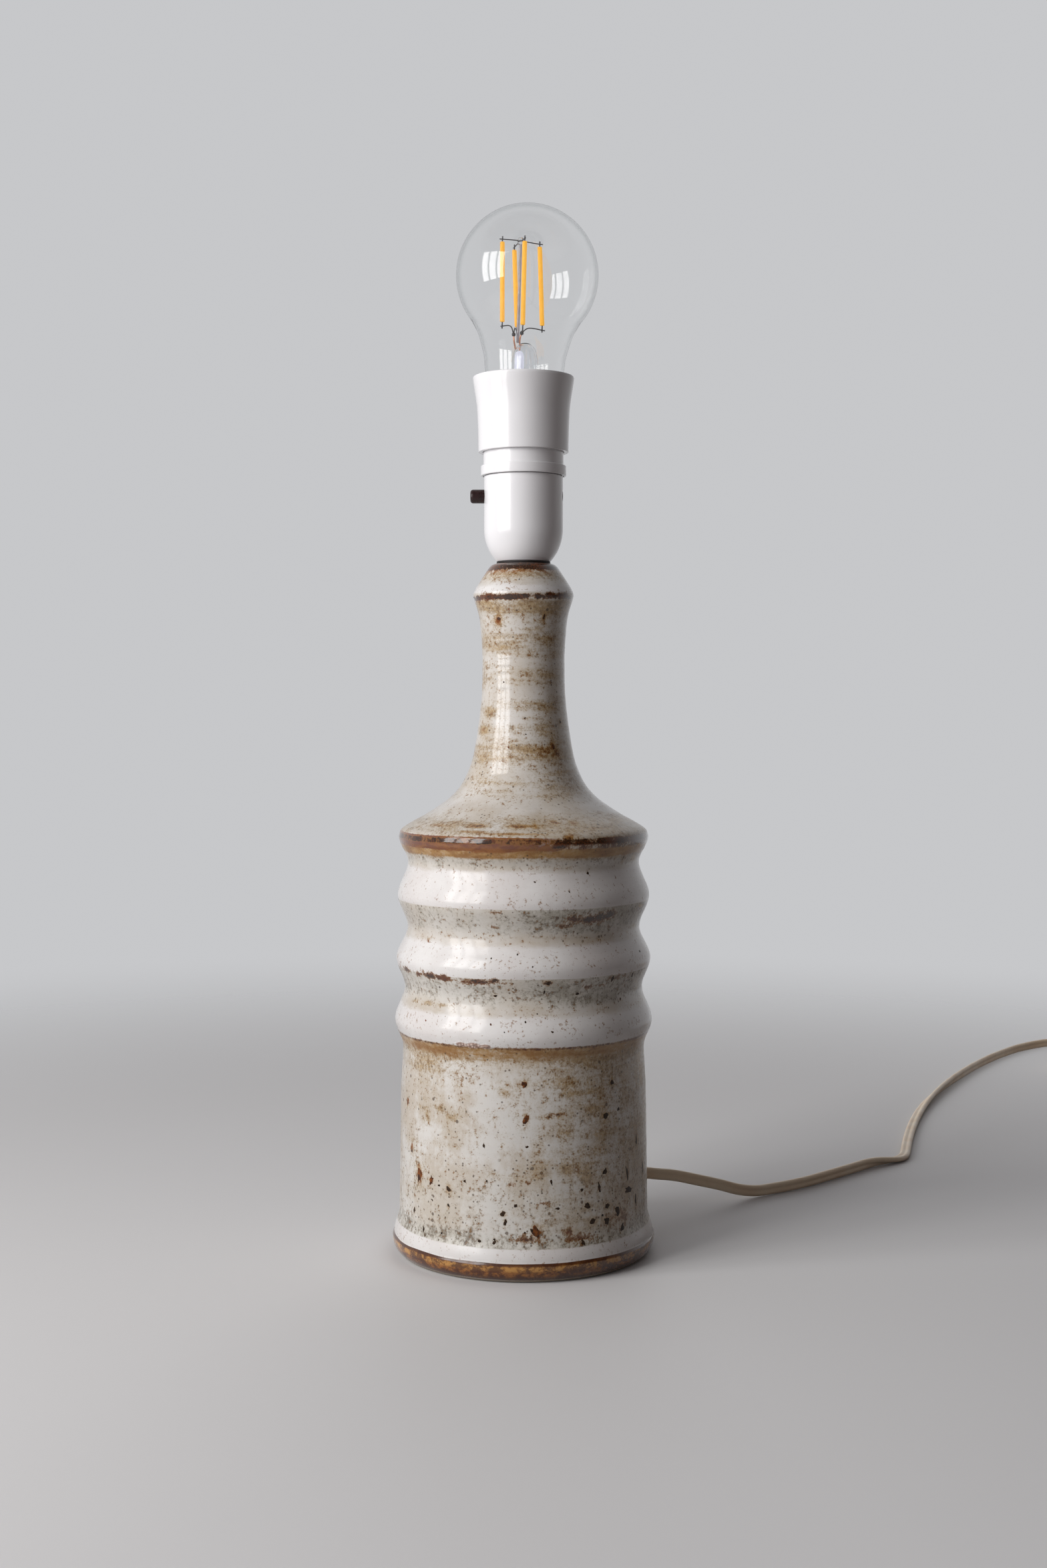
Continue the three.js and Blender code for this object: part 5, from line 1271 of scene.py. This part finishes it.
def makeHolderCap():
    base, top, bore = holder["capBase"], holder["capTop"], holder["neckBore"]
    collar, collarFoot, collarTop = holder["collar"]
    foot, *dome = domeRun(holder["capRadius"], 0)
    outline = [(bore, base, 0.2), (*foot, 0.45), *dome, (holder["capRadius"], top, 0.35),
               (holder["capBore"], top, 0.25), *reversed(domeRun(holder["capBore"], 2.0)),
               (collar, collarFoot, 0.3), (collar, collarTop, 0.3), (bore, collarTop, 0.3)]
    cap = turnedPart("lampholder_cap", outline, whiteGloss, "base", "white_plastic", "holder_cap")
    bar, lock = holder["barHeight"], holder["lockHeight"]
    carve(cap, [
        rod("cutter", (-22, 0, bar), (22, 0, bar), holder["barHole"], whiteGloss, 64),
        rod("cutter", (0, 0.5, lock), (0, 22, lock), holder["lockHole"], whiteGloss),
    ], 32)


skirt = {
    "foot": 335.1,
    "outside": [(19.0, 335.1), (19.04, 339), (19.3, 348.1), (19.6, 353.7), (20.03, 357.2), (20.56, 360.7),
                (21.1, 364), (21.4, 366.2)],
    "lip": [(21.2, 366.9, 0.3), (20.1, 366.9, 0.25)],
    "wall": 1.5,
    "boreTop": 340.6,
    "thread": [(17.5, 340.1, 0.3), (17.15, 340.1, 0.2), (17.15, 335.1, 0.3)],
}


def makeSkirt():
    run = curveThrough(skirt["outside"], 0.8)
    within = [(radius - skirt["wall"], height) for radius, height in run if height > skirt["boreTop"]]
    *thread, bore = skirt["thread"]
    outline = [bore, (run[0][0], skirt["foot"], 0.3), *run[1:], *skirt["lip"], *reversed(within), *thread]
    turnedPart("flared_skirt", outline, whiteGloss, "skirt", "white_plastic", "holder_skirt")


pushBar = {
    "outline": [(0, -22.45), (2.92, -22.45, 1.7), (2.92, 16.65, 1.5), (0, 16.65)],   # radius, x and rounding
    "sides": 64,
}

neck = {
    "washer": [(5.25, 288.25, 0.1), (11.35, 288.25, 0.2), (11.35, 288.9, 0.2), (5.25, 288.9, 0.1)],
    "lockScrew": (5.6, 11.3, 1.5),   # from, to and radius
    "lockSlot": (3.6, 1.6, 0.5),
    "tubeFoot": [(4.0, 271.9, 0.2), (4.7, 271.8, 0.2)],
    "tubeTop": [(4.7, 298.0, 0.2), (4.0, 298.0, 0.2)],
    "threads": 26,
    "threadFrom": 272.4,
    "threadRise": 25.2,
    "threadRadii": (4.72, 5.0),
}


def makePushBar():
    outline = softened(pushBar["outline"], closed=False, steps=10)
    bar = levelTurned("push_bar", outline, holder["barHeight"], pushBrown, pushBar["sides"], 50)
    dress(bar, "switch", "brown_plastic", "switch_bar")


def makeNeckFittings():
    turnedPart("rubber_seat_washer", neck["washer"], washerBlack, "base", "black_rubber", "seat_washer", 96, 38)
    start, end, radius = neck["lockScrew"]
    lock = holder["lockHeight"]
    screw = rod("lock_screw", (0, start, lock), (0, end, lock), radius, steelFinish, 40)
    carve(screw, [block(np.array((0, end, lock)), neck["lockSlot"], 0.05)], 32)
    dress(screw, "base", "steel", "entry_lock_screw")
    thread = list(neck["tubeFoot"])
    low, high = neck["threadRadii"]
    for k in range(neck["threads"]):
        height = neck["threadFrom"] + k * neck["threadRise"] / neck["threads"]
        thread += [(low, height), (high, height + 0.49)]
    thread += neck["tubeTop"]
    turnedPart("threaded_neck_tube", thread, brassFinish, "base", "brass", "threaded_tube", 64, 25)


# The CAD nodes that stay as they are get their finishes here
cadFinishes = [
    (whiteGloss, "contact_block"),
    (plugWhite, "plug_cord_grip"),
    (nickelFinish, "bayonet_sleeve", "plug_fuse"),
    (brassFinish, "terminal_live", "terminal_neutral", "plunger_live", "plunger_neutral", "switch_blade"),
    (steelFinish, "terminal_screw_live", "terminal_screw_neutral", "plunger_spring_live",
     "plunger_spring_neutral", "clamp_washer", "clamp_nut"),
    (coreBrown, "core_live"),
    (coreBlue, "core_neutral"),
    (blackGlass, "bulb_insulator"),
    (solderFinish, "bulb_pad_live", "bulb_pad_neutral"),
    (boardGreen, "driver_board"),
]

makeHolderCap()
for name, outline, body, node in (("lampholder_barrel", "barrel", "base", "holder_barrel"),
                                  ("shade_ring_moulded", "ring", "ring", "shade_ring")):
    turnedPart(name, holder[outline], whiteGloss, body, "white_plastic", node)
makeSkirt()
makePushBar()
makeNeckFittings()
for finish, *names in cadFinishes:
    for name in names:
        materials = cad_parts[name].data.materials
        materials.clear()
        materials.append(finish)
print("lampholder ready")

# Bulb: the cap stands upright, the glass leans a little to the right. Heights of the glass and of what
# is in it are from the top of the cap; outlines are (radius, height, rounding)
bulb = {
    "capTop": 355.52,
    "lean": 1.7,
    "radius": 30.1,
    "centre": 54.2,
    "wall": 0.8,
    "neck": [(20.28, 29.68), (18.3, 23.48), (17.27, 19.29), (16.9, 15.81), (16.14, 10.5), (14.03, 4.8)],
    "footRadius": 10.15,
    "foot": -5.5,
    # right, back, left and front rod: foot x, top x, y, foot height, top height
    "rods": [
        (6.9, 4.9, 1.73, 33.7, 67.0), (-3.8, -5.9, 8.1, 34.0, 66.9), (-9.95, -10.9, -1.73, 34.2, 67.9),
        (-1.25, -1.45, -8.1, 31.9, 66.9),
    ],
    "rodRadius": 0.98,
    "wires": {"pin": 0.27, "upper": 0.22, "lower": 0.24, "copper": 0.33},   # radii
    "frameX": -3.2,
    "wireTop": 68.9,
    "hub": [(0, 67.2), (1.2, 67.4, 0.5), (1.5, 69.2, 0.6), (0.9, 70.2, 0.4), (0, 70.4)],
    "support": [(0, 25.9), (0.62, 25.9, 0.2), (0.62, 67.4, 0.2), (0, 67.4)],
    "weld": [(0, -1.0), (0.7, -0.8, 0.3), (0.85, 0.3, 0.4), (0, 0.9)],
    # copper leads: foot, crook and bead of each, and the rods that it feeds
    "leads": {
        "live": ((-2.4, 1.3, 20.0), (-2.2, -1.2, 28.0), (-1.6, -1.9, 29.8), (0, 3)),
        "neutral": ((-3.6, 1.3, 20.0), (-4.8, -1.0, 26.6), (-5.0, -1.2, 29.2), (2, 1)),
    },
    "stem": [
        (0, 24.9), (1.9, 24.6, 0.8), (3.6, 22.9, 1.2), (4.7, 19.2, 1.6), (4.7, 3.3, 0.8), (4.9, -0.7),
        (8.0, -4.7, 0.2), (9.1, -4.7, 0.3), (6.5, -0.7), (5.4, 3.3, 1.5), (5.4, 19.5, 2.4), (4.2, 23.6, 1.6),
        (2.0, 25.6, 0.8), (0, 25.9),
    ],
    "exhaust": [(0, -1.4), (1.9, -1.4, 0.3), (1.9, 19.6, 0.9), (1.3, 21.6, 0.6), (0, 22.2)],
    "exhaustAt": (-2.2, -1.6, 0),
    # the cap and its pins, with heights from the table
    "cap": [(10.4, 335.92, 0.2), (11.0, 335.92, 0.5), (11.0, 343.5, 0.3), (11.0, 354.4, 0.3),
            (11.25, 354.9, 0.3), (11.0, 355.5, 0.2), (10.4, 355.5, 0.2)],
    "pin": [(0, 9.2), (1.0, 9.2), (1.0, 13.4, 0.5), (0, 13.4)],
    "pinHeight": 340.92,
    "pinHole": 1.2,
}


def leaning(piece):
    angle = math.radians(bulb["lean"])
    x, y, z = np.array([vertex.co for vertex in piece.data.vertices]).T / mm
    leant = np.stack([x * math.cos(angle) + z * math.sin(angle), y,
                      z * math.cos(angle) - x * math.sin(angle) + bulb["capTop"]], axis=-1)
    piece.data.vertices.foreach_set("co", (leant * mm).ravel())
    piece.data.update()
    return piece


# A piece turned in the leaning glass
def leanTurned(name, outline, finish, sides, at, slotName, *replaced, steps=5):
    outline = softened(outline, closed=False, steps=steps)
    piece = spin(name, outline, finish, sides, closed=False, sharp=60, at=at)
    dress(leaning(piece), "bulb", slotName, *replaced)


def leanWire(name, path, kind, finish, slotName, *replaced):
    edge = np.array((0.31, 0.83, 0.46))   # along none of the wires
    loops = sweepLoops(curveThrough(path, 0.8), circle(bulb["wires"][kind], 14), edge)
    dress(leaning(loft(name, loops, finish, sharp=60)), "bulb", slotName, *replaced)


def glassRun(inset):
    radius = bulb["radius"] - inset
    run = [(0.0, bulb["centre"] + radius)]
    for k in range(1, 46):
        angle = math.radians(90 - 130 * k / 45)
        run.append((radius * math.cos(angle), bulb["centre"] + radius * math.sin(angle)))
    foot = bulb["footRadius"] - inset
    neckRun = [(across - inset, up) for across, up in bulb["neck"]]
    return [*run[:-1], *curveThrough([run[-1], *neckRun, (foot, 0.25), (foot, bulb["foot"])], 0.9)]


def makeGlass():
    outline = [*reversed(glassRun(bulb["wall"])), *glassRun(0)]
    glass = spin("clear_bulb", outline, bulbGlass, 144, closed=True, sharp=60)
    dress(leaning(glass), "bulb", "clear_glass", "bulb_glass")


def makeFilaments():
    full = bulb["rodRadius"]
    for k, (footX, topX, y, low, high) in enumerate(bulb["rods"], 1):
        outline = [(0.02, low), (full, low, 0.8), (full, high, 0.8), (0.02, high)]
        loops = []
        for radius, height in softened(outline, closed=False, steps=8):
            x = footX + (topX - footX) * (height - low) / (high - low)
            loops.append([(x + a, y + b, height) for a, b in circle(radius, 32)])
        piece = leaning(loft("glow_rod_%d" % k, loops, amber, sharp=60))
        dress(piece, "bulb", "filament_coating", "filament_%d" % k)
        for end, x, z0, z1 in (("top", topX, high - 0.4, high + 2.3), ("foot", footX, low - 2.9, low + 0.4)):
            path = [(x, y, z0), (x, y, (z0 + z1) / 2), (x, y, z1)]
            leanWire("rod_pin_%s_%d" % (end, k), path, "pin", darkWire, "steel")


def makeFrameWires():
    centre, top = bulb["frameX"], bulb["wireTop"]
    leanTurned("frame_hub", bulb["hub"], stemGlass, 32, (centre, 0, 0), "clear_glass", "upper_wires")
    leanTurned("glass_rod", bulb["support"], rodGlass, 24, (centre, 0, 0), "clear_glass", "support_rod")
    rng = random.Random(7)
    for k, (_, topX, y, _, high) in enumerate(bulb["rods"], 1):
        level = high + 1.1
        middle = ((centre + topX) / 2, y / 2, (top + level) / 2 + rng.uniform(-0.2, 0.35))
        end = (topX + (topX - centre) * 0.16, y * 1.14, level + rng.uniform(-0.1, 0.1))
        leanWire("upper_wire_%d" % k, [(centre, 0, top), middle, end], "upper", darkWire, "steel")
    # copper leads rise from the pinch, spread a little and end in welded beads
    for name, (foot, crook, bead, fed) in bulb["leads"].items():
        path = [(foot[0], 0, -1.9), (foot[0], 0.9, 8.0), foot, crook, bead]
        leanWire("copper_lead_" + name, path, "copper", copperFinish, "copper", "lead_wire_" + name)
        for k in fed:
            footX, _, y, low, _ = bulb["rods"][k]
            x, level = bead[0], low - 2.0
            middle = (x + (footX - x) * 0.3, bead[1] + (y - bead[1]) * 0.3, level + rng.uniform(0.2, 0.6))
            end = (footX + (footX - x) * 0.14, y + (y - bead[1]) * 0.14, level + rng.uniform(-0.1, 0.1))
            replaced = ["lower_wire_" + name] if k in (0, 2) else []
            leanWire("lower_arm_%d" % (k + 1), [bead, middle, end], "lower", darkWire, "steel", *replaced)
        leanTurned("weld_" + name, bulb["weld"], darkWire, 20, bead, "steel")


def makeBulbCap():
    cap = turnedPart("bayonet_bulb_cap", bulb["cap"], nickelFinish, "bulb", "nickel", "bulb_cap", 128, 35)
    height = bulb["pinHeight"]
    carve(cap, [rod("cutter", (-16, 0, height), (16, 0, height), bulb["pinHole"], nickelFinish, 24)], 35)
    for name, side in (("left", -1), ("right", 1)):
        outline = [(radius, side * x) for radius, x in softened(bulb["pin"], closed=False, steps=6)]
        pin = levelTurned("bayonet_pin_" + name, outline, height, nickelFinish, 32, 40)
        dress(pin, "bulb", "nickel", "bulb_pin_" + name)


makeGlass()
makeFilaments()
makeFrameWires()
leanTurned("pinched_stem", bulb["stem"], stemGlass, 96, (0, 0, 0), "clear_glass", "stem_glass", steps=7)
leanTurned("exhaust_glass", bulb["exhaust"], milkGlass, 48, bulb["exhaustAt"], "clear_glass", "exhaust_tube")
makeBulbCap()
print("bulb ready")

# Table and light, in metres
stageSet = {
    "floorSize": 3.0,
    "fade": (0.3, 1.0),
    "floorColour": (0.8, 0.795, 0.8),
    "floorCloud": 0.96,
    "floorBounce": (0.21, 0.19, 0.18),   # what the object gets back from the table
    "backdrop": (0.57, 0.575, 0.59),
    "roomLeft": (0.38, 0.38, 0.405),
    "roomRight": (0.045, 0.031, 0.024),
    "roomBehind": (0.3, 0.295, 0.3),
    "ceiling": (0.07, 0.067, 0.065),
    "lightColour": (1.0, 0.985, 0.97),
    "window": {"place": (-0.671, -0.436, 0.52), "aim": (0, 0, 0.4), "width": 0.56, "height": 0.56,
               "panes": 3, "gap": 0.042, "radiance": 5.0},
    # broad lights on the window's side and, weaker, behind, which leave no highlight of their own
    "softLights": [
        {"place": (-2.3, -1.48, 1.0), "aim": (0, 0, 0.2), "size": 1.9, "radiance": 3.3},
        {"place": (0.5, 3.0, 0.6), "aim": (0, 0, 0.2), "size": 1.9, "radiance": 2.2},
    ],
}


def seenRays(tree, *kinds):
    rays = addNode(tree, "LightPath").outputs
    return maths("MAXIMUM", *[rays["Is %s Ray" % kind] for kind in kinds])


def makeFloor():
    half = stageSet["floorSize"] / 2
    corners = [(x * half, y * half, 0) for x, y in ((-1, -1), (1, -1), (1, 1), (-1, 1))]
    mesh = bpy.data.meshes.new("table_top")
    mesh.from_pydata(corners, [], [(0, 1, 2, 3)])
    finish, shader, place = newFinish("table top")
    tree = finish.node_tree
    colour = stageSet["floorColour"]
    pale = mixed(grain(place, 3, 4, 0.55), colour, tuple(value * stageSet["floorCloud"] for value in colour))
    seen = seenRays(tree, "Camera", "Transmission", "Glossy")
    setInputs(shader, {"Base Color": mixed(seen, stageSet["floorBounce"], pale), "Roughness": 0.6})
    distance = addNode(tree, "VectorMath", {0: place}, operation="LENGTH").outputs["Value"]
    fade = eased(distance, *stageSet["fade"])
    clear = addNode(tree, "BsdfTransparent").outputs[0]
    faded = addNode(tree, "MixShader", {0: fade, 1: shader.outputs[0], 2: clear})
    setInputs(tree.nodes["Material Output"], {"Surface": faded.outputs[0]})
    mesh.materials.append(finish)
    floor = addObject("table_top", mesh)


def makeWorld():
    world = bpy.data.worlds.new("studio")
    world.use_nodes = True
    bpy.context.scene.world = world
    tree = world.node_tree
    right, back, up = axesOf(addNode(tree, "TexCoord").outputs["Generated"])
    room = mixed(eased(right, -0.5, 0.7), stageSet["roomLeft"], stageSet["roomRight"])
    room = mixed(eased(back, 0.3, 0.9), room, stageSet["roomBehind"])
    room = mixed(eased(up, 0.35, 1.0, 0, 0.7), room, stageSet["ceiling"])
    mirrored = mixed(eased(back, -0.3, 0.6), room, stageSet["backdrop"])
    colour = mixed(seenRays(tree, "Glossy"), room, mirrored)
    colour = mixed(seenRays(tree, "Camera", "Transmission"), colour, stageSet["backdrop"])
    setInputs(tree.nodes["Background"], {"Color": colour, "Strength": 1.0})


def addLamp(name, place, aim, width, height, radiance):
    data = bpy.data.lights.new(name, "AREA")
    data.shape = "RECTANGLE"
    data.size = width
    data.size_y = height
    data.color = stageSet["lightColour"]
    data.energy = radiance * math.pi * width * height
    lamp = addObject(name, data)
    lamp.location = tuple(place)
    lamp.rotation_mode = "QUATERNION"
    lamp.rotation_quaternion = Vector(aim).to_track_quat("-Z", "Y")
    lamp.visible_camera = False
    return lamp


def makeWindow():
    window = stageSet["window"]
    place = np.array(window["place"])
    aim = unit(window["aim"] - place)
    side = unit(np.cross(aim, upright))
    width = (window["width"] - window["gap"] * (window["panes"] - 1)) / window["panes"]
    for k in range(window["panes"]):
        offset = (k - (window["panes"] - 1) / 2) * (width + window["gap"])
        addLamp("window_pane_%d" % k, place + side * offset, aim, width, window["height"], window["radiance"])


def makeSoftLight(soft):
    aim = np.array(soft["aim"]) - soft["place"]
    lamp = addLamp("soft_light", soft["place"], aim, soft["size"], soft["size"], soft["radiance"])
    lamp.visible_glossy = False
    lamp.visible_transmission = False


makeFloor()
makeWorld()
makeWindow()
for soft in stageSet["softLights"]:
    makeSoftLight(soft)
bpy.context.scene.view_settings.view_transform = "Standard"
print("light ready")
